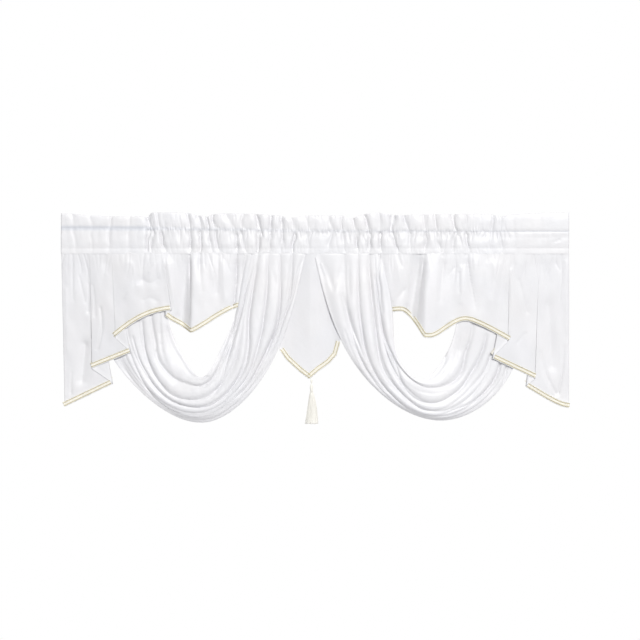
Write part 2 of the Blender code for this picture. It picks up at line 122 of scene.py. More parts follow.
BELOW_STITCH = 12.0          # over this drop a crease goes from its ruffle depth to its pocket depth
RISE_REACH = 20.0            # how far down the rise of the top edge dies out
SWELL_SHARE = 0.5            # height of the heading's swells against their table
SWELL_POWER = 1.6            # 1 leaves a sharp valley between two swells, 2 a round one
CREASE_POWER = 1.35          # 1 gives a sharp valley in a crease, 2 a round one
CREASE_SPACING = 5.0         # distance between the places that a crease's curve is read at
CREASE_REACH = 7.0           # how many half widths from its curve a crease is still worked out
LIP_SPREAD_LOW = 2.6         # how many half widths the lowered side of a lip takes to come back up
LIP_SPREAD_HIGH = 1.6        # the same for the raised side
LIP_SHARE_LOW = 0.85         # share of a lip's height that the lowered side gives

# The stitch line under the ruffle: x, drop
STITCH_LINE = (
    (-700, 36),
    (-450, 37),
    (-210, 40),
    (-40, 44),
    (235, 44.5),
    (700, 45.5),
)

# At its plain right end the pocket lies flat, so ruffle and stitch line stand further forward: x, how far
FLAT_END = (
    (490, 0.0),
    (560, 2.6),
    (700, 2.8),
)
FLAT_END_REACH = 22.0        # how far below the stitch line that dies out

# Heading's cross-section, front from the top down and on round to the back.
# Drop below the top edge, share of the stitch line's drop in it, forward,
# share of a swell and share of a crease that the row takes
HEADING_FRONT = (
    (0, 0.0, -2.0, 1.0, 0.9),
    (2, 0.0, -0.6, 1.0, 1.0),
    (9, 0.0, 0.4, 0.95, 1.0),
    (20, 0.0, 1.0, 0.8, 0.95),
    (-7, 1.0, 1.0, 0.5, 0.8),
    (-3.5, 1.0, 0.4, 0.35, 0.65),
    (0, 1.0, 0.0, 0.3, 0.55),
    (3.2, 1.0, 0.4, 0.32, 0.7),
    (6, 1.0, 0.8, 0.36, 0.8),
    (11, 1.0, 1.3, 0.4, 0.9),
    (19, 1.0, 2.0, 0.5, 1.0),
    (67, 0.0, 2.7, 0.5, 1.0),
    (76, 0.0, 3.3, 0.5, 1.0),
    (84, 0.0, 3.6, 0.5, 0.95),
    (90, 0.0, 3.4, 0.45, 0.9),
    (92.5, 0.0, 3.1, 0.4, 0.8),
    (95, 0.0, 3.4, 0.35, 0.7),
    (101, 0.0, 3.3, 0.22, 0.5),
    (105, 0.0, 3.0, 0.1, 0.3),
    (107.2, 0.0, 2.8, 0.05, 0.2),
)
HEADING_BACK = (
    (106.5, 0.0, -6.7, 0.1, 0.0),
    (103, 0.0, -6.9, 0.1, 0.0),
    (92, 0.0, -6.5, -0.12, -0.1),
    (70, 0.0, -6.2, -0.15, -0.2),
    (12, 1.0, -5.6, -0.12, -0.2),
    (6, 1.0, -3.8, 0.0, 0.2),
    (0, 1.0, -2.2, 0.2, 0.5),
    (-5, 1.0, -2.4, 0.4, 0.65),
    (20, 0.0, -3.3, 0.8, 0.95),
    (4, 0.0, -3.5, 1.0, 1.0),
)
HEADING_PITCH_PLAIN = 3.4    # distance between the heading's columns at its plain ends
HEADING_PITCH_GATHERED = 1.8
HEADING_ROW_STEPS = 2        # rows of the mesh for each row of the cross-section

# Puckers that the stitching draws in along the stitch line
PUCKER_PITCH = 8.2
PUCKER_DEPTH = 1.9
PUCKER_REACH = 6.5           # how far above and below the line a pucker runs
PUCKER_FADE = 1.5            # above 1 a pucker ends more suddenly
PUCKER_ROUNDNESS = 0.7       # below 1 the puckers are round and the stitches between them sharp
PUCKER_SHIFT = 0.8           # how unevenly they are spaced, in puckers, with the field's pitch and seed
PUCKER_PLACES = (70, 5)
PUCKER_PLACES_DOWN = 0.2     # how slowly that field changes downwards
PUCKER_HEIGHT = 0.8          # their height against their depth, how much it varies, pitch and seed
PUCKER_VARIES = 0.8
PUCKER_HEIGHTS = (25, 6)
PUCKER_HEIGHT_RANGE = (0.1, 2)
GATHERED_FROM = -470         # the strip is drawn up between these two places, and plain outside them
GATHERED_TO = 540
GATHERED_CHANGE = 60         # length of the change between plain and gathered
PLAIN_SHARE = 0.25           # share of the puckers' height in the plain ends

# Painted shade along the stitch line: a grey-blue band darkens the satin where the groove lies in shade. x,
# half its height, how strongly it shows
PAINTED_STITCH_SHADE = (
    (-700, 6.8, 1.0),
    (-480, 6.8, 0.95),
    (-440, 5.0, 0.5),
    (-60, 4.5, 0.3),
    (250, 4.0, 0.35),
    (470, 3.5, 0.3),
    (520, 2.2, 0.5),
    (700, 2.2, 0.6),
)
STITCH_EDGE = 4              # above 2 the band has a crisp edge
STITCH_VARIES = 0.45         # how much its strength varies, and how far from the middle it does so
STITCH_VARIES_WITHIN = 470
STITCH_STRENGTHS = (9, 12)   # pitch and seed of that field
STITCH_STRENGTH_RANGE = (0.2, 1.2)

# Satin is doubled in the heading's band, from this drop down, and half as much in its ruffle, above that
SEAM_BAND_DROP = 90
RUFFLE_DROP = 38
RUFFLE_DOUBLED = 0.5
DOUBLED_CHANGE = 3           # over this drop

# Small gathers: their length in shares of their reach, their slant and bow in shares of their length
GATHER_LENGTHS = (0.25, 1.0)
GATHER_SHORTNESS = 1.4       # above 1 most of them are short
GATHER_SLANT = 0.22
GATHER_BOW = 0.06
GATHER_WIDTHS = (1.4, 2.6)
GATHER_WIDENS = 1.5
GATHER_DEPTHS = (0.25, 1.0)
GATHER_MIDDLE_DEPTH = 0.6
GATHER_STARTS = (0.5, 3)     # distance from the sewn line
GATHER_SPACING = (0.5, 1.6)  # shares of the pitch

# Lines that gathers start from, as rows of x and drop: the heading's top edge, its lip and the tails' seam
TOP_LINE = ((0, 0),)
LIP_LINE = ((0, 104),)
TAIL_SEAM_LINE = ((0, 106),)

# Gathers of the heading and of the tails: line, 1 for down from it or -1 for up, pitch, longest reach,
# depth, and in the heading a seed
HEADING_GATHERS = (
    (STITCH_LINE, 1, 8, 46, 3.2, 101),
    (STITCH_LINE, -1, 8, 32, 3.0, 102),
    (LIP_LINE, -1, 12, 40, 2.0, 103),
    (TOP_LINE, 1, 15, 24, 2.2, 104),
)
TAIL_GATHERS = (TAIL_SEAM_LINE, 1, 13, 110, 2.4)

# Where the heading's small gathers lie and how deep they are there: from x, to x, share
GATHER_ZONES = (
    (-695, GATHERED_FROM, 0.22),
    (GATHERED_FROM, GATHERED_TO, 1.0),
    (GATHERED_TO, 695, 0.2),
)

# Creases are rows of: name, points (x, drop) on a curve, half widths along it, depths along it (a negative
# depth is a ridge), and the heights of its lip along it, where one side stands over the other. A lip above
# zero stands on the left of a curve that runs down, and one below zero on the right.
HEADING_CREASES = (
    ("fold over the left panel", ((-563, 6), (-564, 41), (-565, 77)), (3, 3), (2.0, 1.2), (0,)),
    ("slant below the third fold", ((-275, 44), (-271, 83), (-249, 112)), (3, 4), (3.0, 2.0), (0,)),
    ("slant by the left swag", ((-204, 47), (-212, 77), (-217, 107)), (3, 3), (2.0, 3.0), (0,)),
    ("short slant", ((-91, 52), (-87, 74), (-83, 96)), (3, 4), (2.0, 1.0), (0,)),
    ("slant over the panel", ((60, 47), (39, 69), (32, 85)), (3, 4), (2.2, 0.8), (0,)),
    ("tick", ((94, 47), (94, 58), (95, 69)), (2.5, 2.5), (1.8, 1.0), (0,)),
    ("hook", ((120, 44), (120, 58), (117, 72)), (2.5, 3), (3.0, 1.5), (0,)),
    ("branch", ((131, 55), (140, 77), (147, 99)), (3, 3), (1.5, 2.5), (0,)),
    ("tick by the tail", ((341, 58), (343, 85), (344, 107)), (3, 3), (1.5, 1.2), (0,)),
    ("slant by the tail", ((362, 50), (358, 83), (354, 110)), (3, 3), (2.5, 2.0), (0,)),
    ("fork", ((389, 50), (401, 69), (405, 88)), (3, 4), (2.5, 1.0), (0,)),
    ("small slant", ((474, 47), (466, 58), (457, 72)), (2.5, 3), (2.0, 0.8), (0,)),
    ("last slant", ((500, 52), (503, 74), (507, 96)), (2.5, 3), (1.8, 0.8), (0,)),
    ("faint ridge", ((546, 55), (551, 72), (558, 91)), (3, 3), (-1.0, -0.6), (0,)),
    ("pinch near the end", ((655, 75), (664, 72), (674, 68)), (2, 2.5), (1.0, 2.0), (0,)),
    ("wide stitch groove", ((-704, 36), (-593, 36.5), (-466, 37)), (5, 5, 4), (1.2, 1.2, 0.8), (0,)),
    ("hook by the first fold",
     ((-461, 11), (-452, 30), (-447, 41), (-443, 53)), (2.4, 2.8), (6.0, 4.0), (0,)),
    ("second side of the hook", ((-466, 33), (-462, 52), (-463, 72), (-468, 96)), (2, 3), (3.5, 1.0), (0,)),
    ("short slant in the middle", ((-270, 33), (-274, 53)), (2, 2), (5.0, 2.0), (0,)),
    ("line down to the slope",
     ((-424, 50), (-419, 70), (-411, 92), (-408, 108)), (2.5, 4, 5, 5), (1.5, 3, 3), (0,)),
    ("knot over the left swag",
     ((-146, 52), (-154, 78), (-158, 97), (-163, 108)), (2, 3, 5, 3), (2, 4, 8, 5), (0,)),
    ("second knot line", ((-151, 33), (-148, 47), (-144, 60)), (2, 2.4), (5.0, 2.5), (0,)),
    ("left leg's line in the band", ((-212, 88), (-213, 108)), (2, 3.5), (1.0, 6.0), (0,)),
    ("end of the middle line", ((-59, 60), (-62, 90), (-62, 108)), (1.8, 2.2), (2.5, 4.5), (0,)),
    ("narrow stitch groove", ((234, 45), (455, 46), (700, 46)), (2, 2, 2.2), (1.0, 1.2, 1.1), (0,)),
)

# Tails: one row for each fold or turn of the section, from the outer edge to the inner one.
# name, x at seam, x at hem, drop of the hem, forward of the layer before, forward of the layer after
TAIL_LEFT = (
    ("outer edge", -699, -690, 529, -2, -2),
    ("tier 1 fold", -625, -556, 465, -1.3, -0.6),
    ("tier 2 outer fold", -621, -617, 423, -0.5, 0.2),
    ("tier 2 fold", -563, -507, 379, 3.4, 4.1),
    ("tier 3 outer fold", -561, -552, 338, 2.6, 3.3),
    ("tier 3 shoulder", -512, -515, 308, 5.5, 5.5),
    ("tier 3 middle", -478, -482, 287, 7, 7),
    ("tier 3 inner side", -446, -444, 270, 7.2, 7.2),
    ("tuck fold", -420, -394, 262, 6.8, 5.9),
    ("tuck inner fold", -412, -414, 279, 5.6, 4.7),
    ("slope", -376, -394, 294, 3, 3),
    ("valley", -353, -373, 304, -10, -10),
    ("flank foot", -349, -361, 312, -7, -7),
    ("flank", -346, -352, 318, 1, 1),
    ("flank top", -344, -345, 323, 9, 9),
    ("crest", -341, -340, 325, 15, 15),
    ("crest's far side", -337, -335, 325, 14, 14),
    ("ridge", -306, -304, 307, 12, 12),
    ("soft groove", -274, -272, 285, 7, 7),
    ("inner ridge", -247, -245, 270, 7, 7),
    ("corner", -226, -226, 259, 4, 4),
    ("inner edge", -195, -190, 250, -4, -4),
)
TAIL_RIGHT = (
    ("outer edge", 700, 700, 532, 0, 0),
    ("tier 1 corner", 668, 668, 527, 0, 0),
    ("tier 1 fold", 627, 579, 473, -1.0, -0.3),
    ("tier 2 outer fold", 619, 608, 452, -0.2, 0.5),
    ("tier 2 fold", 544, 487, 395, 2.8, 3.5),
    ("tier 3 outer fold", 536, 533, 347, 2.6, 3.3),
    ("tier 3 shoulder", 482, 482, 318, 5.5, 5.5),
    ("tier 3 inner side", 446, 441, 299, 7, 7),
    ("crest", 414, 407, 286, 8, 8),
    ("soft groove", 372, 360, 318, 4, 4),
    ("ridge", 330, 328, 340, 12, 12),
    ("crest", 309, 302, 339, 16, 16),
    ("crest's far side", 306, 297, 336, 14, 14),
    ("flank top", 301, 289, 322, 9, 9),
    ("flank", 297, 278, 303, -1, -1),
    ("flank foot", 293, 268, 290, -12, -12),
    ("valley", 288, 258, 279, -15, -15),
    ("inner ridge", 250, 240, 263, 7, 7),
    ("inner dip", 218, 216, 268, 3, 3),
    ("inner edge", 181, 162, 272, -5, -5),
)
TAIL_STEPS = 24              # places read for each span between the section's turns
TAIL_PITCH = 2.1             # distance between a tail's columns
TAIL_ROWS = 110
SETBACK_HEM = 9.0            # how tightly a fold turns, at the hem and at the seam
SETBACK_SEAM = 2.0
FORWARD_AT_SEAM = 0.05       # share of a fold's depth that shows at the seam
FORWARD_POWER = 2.8
SEAM_CALM = 30.0             # creases grow to their full depth over this drop below the seam
TAIL_CALM_LEAST = 0.45       # share of its depth that a crease has at the seam, in a tail and in the panel
PANEL_CALM_LEAST = 0.3

TAIL_LEFT_CREASES = (
    ("tier 1 first wrinkle", ((-667, 116), (-668, 165), (-666, 234)), (3, 4), (2.0, 1.0), (0,)),
    ("tier 1 second wrinkle", ((-650, 168), (-642, 201), (-634, 240)), (3, 4), (0.8, 1.2), (0,)),
    ("tier 1 outer swell", ((-686, 207), (-686, 289), (-683, 372)), (7, 9), (-1.5, -1.2), (0,)),
    ("tier 1 dent", ((-634, 358), (-637, 400), (-642, 455)), (12, 14), (8.0, 6.0), (0,)),
    ("tier 1 hem line", ((-670, 433), (-672, 460), (-672, 491)), (3, 3), (1.0, 2.0), (0,)),
    ("tier 2 edge hollow", ((-623, 190), (-624, 229), (-625, 267)), (4, 6), (2.0, 3.0), (0,)),
    ("tier 2 first wrinkle", ((-613, 196), (-608, 234), (-606, 278)), (3, 3), (1.5, 1.5), (0,)),
    ("tier 2 long line", ((-591, 256), (-587, 303), (-601, 367)), (3.5, 4), (2.5, 3.5), (0,)),
    ("tier 2 seam gather", ((-576, 113), (-577, 135), (-582, 168)), (4, 5), (2.0, 0.5), (0,)),
    ("tier 3 swell", ((-507, 130), (-499, 157), (-507, 190)), (12, 14), (-2.0, -1.6), (0,)),
    ("tier 3 hollow", ((-474, 179), (-452, 187), (-433, 176)), (12, 12), (2.2, 2.2), (0,)),
    ("tier 3 lower swell", ((-521, 226), (-507, 209), (-491, 196)), (9, 9), (-1.8, -1.8), (0,)),
    ("tier 3 lower hollow", ((-469, 234), (-452, 229), (-435, 237)), (10, 10), (1.8, 1.6), (0,)),
    ("tier 3 slant ridge", ((-455, 157), (-446, 143), (-438, 130)), (6, 6), (-1.5, -1.0), (0,)),
    ("tier 3 seam gather", ((-455, 113), (-460, 130), (-474, 152)), (6, 8), (1.5, 0.8), (0,)),
    ("slope edge", ((-408, 119), (-397, 190), (-380, 267)), (7, 9), (-2.0, -3.0), (0,)),
    ("second pleat", ((-317, 107), (-317, 141), (-311, 207)), (4, 12), (6.0, 1.5), (0,)),
    ("light ridge", ((-281, 113), (-281, 141), (-281, 174)), (5, 6), (-2.0, -0.8), (0,)),
    ("third pleat", ((-265, 113), (-266, 157), (-269, 212)), (6, 9), (2.8, 1.2), (0,)),
    ("slant pleat", ((-251, 119), (-243, 135), (-234, 157)), (4, 4), (1.5, 0.8), (0,)),
    ("inner ridge", ((-256, 130), (-254, 179), (-245, 234)), (5, 7), (-1.5, -1.0), (0,)),
    ("corner hollow", ((-214, 104), (-216, 179), (-222, 250)), (3, 4), (6.0, 7.0), (-4, -6)),
    ("wedge line", ((-345, 104), (-344, 152), (-344, 207), (-344, 248), (-346, 289)),
     (3, 4, 5, 5), (6, 7, 5, 2), (-2, -2, 0, 0)),
)
TAIL_RIGHT_CREASES = (
    ("long crease", ((225, 102), (232, 119), (238, 141)), (4, 4), (4.0, 1.5), (0,)),
    ("ridge by the swag", ((254, 119), (255, 179), (254, 240)), (7, 8), (-2.0, -2.0), (0,)),
    ("hem hollow", ((245, 207), (229, 226), (212, 245)), (8, 8), (2.5, 2.5), (0,)),
    ("middle pleat", ((353, 113), (350, 168), (344, 234)), (6, 10), (3.0, 1.2), (0,)),
    ("small slant", ((389, 143), (378, 154), (369, 168)), (3, 3), (1.2, 0.8), (0,)),
    ("short line", ((397, 160), (397, 185), (398, 212)), (3, 4), (1.2, 1.0), (0,)),
    ("light ridge", ((405, 146), (405, 190), (402, 240)), (6, 7), (-2.0, -1.5), (0,)),
    ("third pleat", ((421, 102), (423, 135), (428, 171), (436, 212), (444, 262)),
     (6, 7, 8, 9, 9), (4.5, 4, 2.8, 1.2, 0.5), (-1, -2, -2, -1, 0)),
    ("face swell", ((493, 130), (496, 179), (488, 234)), (14, 16), (-2.5, -2.0), (0,)),
    ("edge hollow", ((533, 168), (524, 223), (513, 295)), (5, 10), (0.6, 0.8), (0,)),
    ("tier 2 soft line", ((562, 179), (573, 223), (584, 267)), (5, 5), (1.2, 1.5), (0,)),
    ("tier 2 mark", ((557, 353), (568, 339), (583, 325)), (2.5, 2.5), (1.2, 1.5), (0,)),
    ("tier 2 ridge", ((540, 152), (540, 234), (535, 317)), (4, 5), (-1.5, -1.2), (0,)),
    ("tier 1 hollow", ((645, 251), (650, 344), (653, 416)), (16, 18), (3.0, 3.5), (0,)),
    ("tier 1 dark line", ((686, 361), (682, 427), (671, 491)), (3.5, 4), (1.5, 5.0), (0,)),
    ("tier 1 facing line", ((623, 378), (637, 438), (664, 493)), (5, 5), (1.0, 3.0), (0,)),
    ("outer edge ripple", ((678, 113), (679, 165), (675, 234)), (3, 3), (1.8, 0.8), (0,)),
    ("outer edge tick", ((664, 130), (670, 143), (675, 152)), (2.5, 2.5), (1.2, 1.2), (0,)),
    ("outer edge swell", ((692, 130), (692, 207), (692, 317)), (5, 6), (-1.6, -1.2), (0,)),
    ("wedge line", ((302, 104), (298, 152), (290, 207), (284, 262), (280, 300)),
     (6, 9, 10, 9), (6, 8, 5, 2), (-1, -1, 0, 0)),
)

# Swags: one row for each fold line, from the bowl's upper edge to its lower one.
# x at the back layer's seam, x of that leg, its lower turn (x, drop), bottom (x, drop),
# the front leg's turn (x, drop), x of the front leg, x at the front layer's seam
SWAG_LEFT = (
    ("upper edge", -419, -404, -361, 393, -311, 446, -265, 383, -229, -193),
    ("fold 1", -455, -453, -419, 419, -309, 467, -256, 416, -218, -175),
    ("fold 2", -485, -486, -441, 444, -344, 507, -254, 463, -200, -167),
    ("fold 3", -521, -521, -457, 452, -328, 529, -218, 459, -183, -158),
    ("fold 4", -546, -548, -466, 475, -320, 544, -198, 462, -144, -128),
    ("fold 5", -573, -570, -468, 481, -311, 557, -187, 467, -108, -96),
    ("fold 6", -601, -590, -471, 487, -306, 564, -179, 477, -95, -63),
    ("lower edge", -631, -606, -473, 494, -300, 571, -174, 488, -76, -25),
)
SWAG_RIGHT = (
    ("upper edge", 391, 378, 346, 408, 292, 452, 231, 400, 215, 179),
    ("fold 1", 446, 426, 389, 441, 322, 475, 237, 424, 182, 164),
    ("fold 2", 496, 471, 411, 463, 320, 517, 244, 467, 177, 157),
    ("fold 3", 540, 502, 445, 480, 325, 540, 218, 466, 165, 149),
    ("fold 4", 576, 531, 466, 489, 339, 554, 198, 482, 126, 119),
    ("fold 5", 595, 557, 480, 494, 353, 560, 181, 480, 95, 83),
    ("lower edge", 615, 577, 493, 499, 358, 566, 165, 477, 48, -4),
)
SWAG_LEFT_CREASES = (
    ("inner valley",
     ((-452, 267), (-449, 306), (-441, 350), (-433, 394), (-411, 427), (-383, 452), (-344, 464),
      (-303, 469), (-287, 457), (-270, 430), (-254, 391), (-240, 356), (-226, 309), (-218, 256),
      (-207, 193), (-190, 119)),
     (3.5, 3, 3.5, 4, 4, 3), (5, 5, 4, 6, 5, 4), (2.5, 2, -2, -2.5, 0, 0)),
    ("middle valley",
     ((-477, 295), (-471, 358), (-460, 402), (-444, 435), (-424, 466), (-400, 491), (-364, 506),
      (-322, 507), (-295, 499), (-276, 485), (-259, 466), (-251, 438), (-243, 405), (-232, 369),
      (-218, 322), (-204, 267)),
     (3, 3, 3, 3.5, 3, 3), (4, 4.5, 4, 4, 5.5, 2), (2, 2, -1, -2, 0, 0)),
    ("long valley",
     ((-502, 339), (-491, 378), (-480, 408), (-463, 438), (-444, 469), (-422, 493), (-394, 513),
      (-356, 524), (-317, 529), (-284, 522), (-259, 506), (-237, 485), (-215, 455), (-196, 424),
      (-185, 383), (-182, 336), (-182, 284), (-176, 240), (-168, 190), (-160, 141), (-156, 110)),
     (2.5, 3, 3, 3.5, 4.5, 4, 3.5, 3.5), (2, 4, 4, 5, 7, 7, 5, 6), (0.5, 1, -1.5, -2.5, -1, 0, 0, 0)),
    ("outer valley",
     ((-518, 361), (-507, 389), (-496, 416), (-480, 449), (-460, 482), (-435, 510), (-405, 532),
      (-367, 546), (-322, 551), (-281, 543), (-254, 529), (-229, 507), (-207, 488)),
     (3, 3.5, 3.5, 4, 3), (3, 4.5, 2.5, 1.5, 2.5), (1, 1.2, -1, -1, -0.5)),
    ("left leg light fold",
     ((-427, 267), (-427, 317), (-422, 367), (-411, 405), (-394, 435)),
     (3, 3, 3), (2.5, 2.5, 1), (1, 1, 0)),
    ("inner edge hollow",
     ((-413, 276), (-405, 331), (-389, 372), (-361, 411), (-336, 441), (-317, 446), (-295, 444)),
     (3, 3.5, 3), (2.5, 3, 3.5), (1.5, 1, -1)),
    ("short tuck by the bend",
     ((-303, 466), (-281, 444), (-267, 422), (-254, 400)),
     (2.5, 2.5, 2), (3, 4, 2), (0, 0, 0)),
    ("rim tuck", ((-344, 451), (-322, 453), (-300, 449)), (2, 2, 2), (1, 2.5, 1), (-1, -1, -1)),
    ("bend under tuck",
     ((-298, 513), (-281, 499), (-265, 477), (-259, 466)),
     (2.5, 2.5, 2), (1, 3.5, 1), (-1, -1, 0)),
    ("second front valley",
     ((-134, 113), (-131, 152), (-132, 201), (-136, 243), (-141, 284), (-147, 322), (-157, 358),
      (-167, 394), (-178, 430), (-196, 460), (-215, 482), (-240, 504)),
     (2.5, 3, 3, 3), (3, 4.5, 3.5, 2.5), (1, 1, 1, 0)),
    ("third front valley",
     ((-98, 110), (-96, 165), (-95, 220), (-99, 267), (-106, 306), (-119, 342), (-134, 375), (-149, 405),
      (-164, 435), (-181, 466), (-198, 485), (-220, 504)),
     (2, 2.2, 4, 4.5, 3.5, 2.5), (2, 2, 6, 7.5, 6, 2), (1, 1, 2.5, 3, 1.5, 0)),
    ("fourth front valley",
     ((-63, 102), (-63, 138), (-65, 179), (-69, 220), (-77, 259), (-88, 292), (-99, 325), (-113, 364),
      (-130, 394)),
     (2.8, 3.2, 3, 4), (6, 6.5, 3.5, 1), (2, 2, 1, 0)),
    ("edge valley",
     ((-33, 121), (-45, 146), (-52, 174), (-58, 207), (-68, 243), (-79, 273)),
     (2.2, 2.5, 2.5), (3.5, 3.5, 1.5), (1, 1, 0)),
    ("inner leg line",
     ((-171, 146), (-182, 179), (-190, 207), (-197, 240), (-204, 270), (-215, 306), (-229, 339),
      (-245, 372)),
     (2.2, 2.5, 2.5), (2, 3.5, 2.5), (0.8, 0.8, 0)),
    ("inner leg first line",
     ((-187, 113), (-196, 141), (-203, 165), (-209, 193)),
     (2, 2.5, 2.5), (2.5, 4, 3), (1, 1, 0)),
    ("soft fold low on the leg",
     ((-124, 405), (-141, 433), (-160, 457), (-182, 482), (-207, 502)),
     (3, 4, 3), (1.5, 2.5, 1), (0, 0, 0)),
    ("face wrinkle", ((-116, 157), (-110, 185), (-113, 212)), (4, 5, 4), (0.6, 1.6, 0.6), (0, 0, 0)),
    ("hem line",
     ((-356, 557), (-322, 562), (-295, 562), (-267, 554), (-240, 535), (-212, 515)),
     (2.5, 3, 2.5), (1, 2, 1), (-0.5, -0.8, -0.5)),
    ("lower soft line", ((-284, 546), (-262, 536), (-243, 521)), (2.5, 2.5, 2), (0.8, 2.2, 0.8), (0, 0, 0)),
    ("outer soft shade",
     ((-540, 394), (-521, 427), (-499, 460), (-474, 491)),
     (5, 6, 5), (1, 2.5, 1), (0, 0, 0)),
)
SWAG_RIGHT_CREASES = (
    ("inner valley",
     ((438, 284), (435, 311), (426, 347), (416, 375), (409, 405), (402, 433), (386, 453), (364, 466),
      (339, 473), (314, 471), (287, 463), (259, 446), (241, 427), (230, 402), (218, 372), (207, 344)),
     (3.5, 3.5, 4.5, 4, 3, 3), (6, 6.5, 6, 3, 0.5, 0.3), (1.5, 2, 2.5, 1, 0, 0)),
    ("second valley",
     ((471, 333), (466, 361), (455, 391), (440, 419), (423, 444), (409, 469), (394, 485), (369, 499),
      (342, 514), (309, 517), (278, 507), (258, 491), (243, 471), (233, 444), (223, 416), (211, 386),
      (198, 356), (187, 320), (181, 281), (175, 243), (171, 207), (165, 171)),
     (3.5, 4, 3.5, 3, 3, 3, 3.5, 3), (6.5, 5.5, 3.5, 4, 4.5, 5, 5, 3), (0, 0, 1, 1, 1, 0.5, 0.5, 0)),
    ("third valley",
     ((485, 386), (474, 416), (456, 446), (433, 471), (412, 493), (386, 513), (356, 531), (325, 538),
      (295, 535), (265, 515), (240, 493), (218, 470), (198, 444), (182, 408), (174, 372), (169, 331),
      (165, 284), (158, 234), (153, 185), (149, 146), (152, 107)),
     (4, 4.5, 3, 3, 3.5, 3.5, 5, 4.5, 3.5),
     (5, 4, 3, 4.5, 5.5, 7, 5, 6, 7), (0, 0, 1, 1, 1, 1, 1.5, 1.5, 0.5)),
    ("fourth valley",
     ((510, 411), (504, 435), (489, 463), (470, 485), (444, 507), (416, 524), (386, 535), (358, 546),
      (328, 554), (295, 551), (265, 539), (237, 520), (209, 493), (187, 469), (168, 442), (152, 411),
      (139, 375), (132, 339), (125, 284), (121, 229), (120, 179), (119, 130)),
     (3.5, 3.5, 2.5, 3.5, 3, 3, 3, 2.2), (5.5, 6, 2, 4.5, 4, 6.5, 2.5, 2), (0, 0, 1, 1.5, 1, 1, 0.5, 0.5)),
    ("outer valley", ((526, 419), (524, 446), (507, 482)), (3, 3.5, 3), (4, 3, 1), (0, 0, 0)),
    ("upper leg crease",
     ((176, 102), (181, 130), (175, 163), (179, 196), (181, 229), (187, 267)),
     (3, 3, 3), (6.5, 6, 2), (0.5, 0, 0)),
    ("leg soft valley",
     ((77, 223), (85, 251), (96, 289), (109, 325), (123, 361), (138, 400)),
     (2.5, 5, 4.5, 3), (2, 5, 4, 1), (-0.5, -1, 0)),
    ("leg fine line", ((94, 130), (94, 179), (96, 223)), (4, 5, 4), (1.5, 2, 0.8), (0, 0, 0)),
    ("top hollow, left side",
     ((17, 116), (28, 141), (39, 171), (47, 201)),
     (4, 5, 4), (2.5, 3, 1.5), (0, 0, 0)),
    ("top hollow, right side",
     ((74, 119), (69, 152), (58, 185), (50, 207)),
     (4, 5, 4), (1, 2.4, 1.5), (0, 0, 0)),
    ("top hollow middle", ((44, 124), (44, 157), (47, 190)), (10, 9, 5), (1.2, 2.2, 1.6), (0, 0, 0)),
    ("edge fold", ((11, 121), (17, 146), (28, 179)), (1.8, 2, 2), (2.4, 2, 0.5), (0.6, 0.4, 0)),
    ("leg lower hollow", ((83, 320), (94, 353), (106, 383), (121, 413)), (4, 6, 3), (1.5, 3, 1), (0, 0, 0)),
    ("leg lower line",
     ((102, 350), (116, 378), (130, 405), (146, 433), (168, 460), (196, 488)),
     (2, 2.5, 2), (1.5, 2.5, 1.5), (0.5, 0.5, 0.5)),
    ("bowl line in the first fold",
     ((248, 457), (270, 477), (298, 488), (328, 491), (361, 485)),
     (3, 4, 3), (0.6, 1.6, 0.8), (0, 0, 0)),
    ("inner rim tuck",
     ((361, 378), (356, 405), (342, 427), (325, 444), (303, 452)),
     (2.5, 3, 2.5), (3, 4.5, 1.5), (-1, -1, 0)),
    ("rim second line", ((367, 416), (353, 438), (336, 455)), (2, 2.5, 2), (1, 3, 1), (0, 0, 0)),
    ("fold face shade",
     ((397, 331), (391, 372), (380, 411), (364, 444)),
     (5, 6, 4), (1, 1.8, 0.8), (0, 0, 0)),
    ("fold face by the hem", ((416, 317), (413, 344), (405, 378)), (5, 5, 4), (2.5, 2.5, 1), (0, 0, 0)),
    ("lower front line",
     ((201, 466), (220, 485), (243, 504), (267, 524), (300, 540)),
     (2, 2.4, 2), (1.5, 2.2, 1), (0, 0.5, 0.5)),
)
SWAG_LEG_DROPS_LEFT = (289, 303)
SWAG_LEG_DROPS_RIGHT = (344, 290)
SWAG_FORWARD = (SWAG_BACK_LAYER, -4.5, 1.5, 14, 15, 9, SWAG_FRONT_LAYER)
SWAG_LEAN = (0, 9, 5, 0, 0, 0, 0)    # how much further forward the upper edge stands at each station
SWAG_LEAN_REACH = 0.9                # share of a swag's width over which that lean dies out
SWAG_TILT = (0, 0, 8, 36, 22, 4, 0)  # how much further forward the upper edge stands than the lower one
SWAG_BELLY = (0, 0, 2, 6, 5, 3, 0)   # how much further forward the middle folds stand than both edges
SWAG_STEPS = (32, 40, 44, 44, 40, 32)
SWAG_COLUMNS = 16

# Ridges between a swag's fold lines. Of two values, the first holds on the legs and the second in the
# bowl, or the first at the back seam and the second at the front one.
RIDGE_RATIO = 0.26                   # height of a ridge against its width
RIDGE_MOST = (7.5, 4.2)              # legs and bowl
RIDGE_WIDE = 26.0                    # a ridge narrower than this is lower still
RIDGE_LEAN = (1.15, 1.7)             # legs and bowl: above 1 a ridge leans over the fold line below it
RIDGE_ROUNDNESS = (0.6, 0.85)        # legs and bowl: below 1 the valleys are sharp and the ridges round
RIDGE_AT_SEAM = (0.05, 0.28)         # back and front: share of a ridge's height that is left there
RIDGE_POWER = (0.42, 0.62)           # back and front: how slowly the ridges grow below that seam
RIDGE_UNDER_TAIL = 0.35              # share of it where the ridge comes out from under the tail
RIDGE_FREE = (0.19, 0.13)            # place along the swag where it grows again, and over what length
BOWL_RISE = (0.55, 0.4)              # sine of the place where a leg starts to be bowl, and the change
EDGE_LEAN = 0.85                     # the lowest ridge of the front leg runs out softly to the edge
EDGE_ROUNDNESS = 1.6
SWAG_CREASE_SHARE = (1.6, 0.7)       # legs and bowl: depth of the creases against their table
SWAG_CREASE_WIDENED = 1.15           # their width against their table
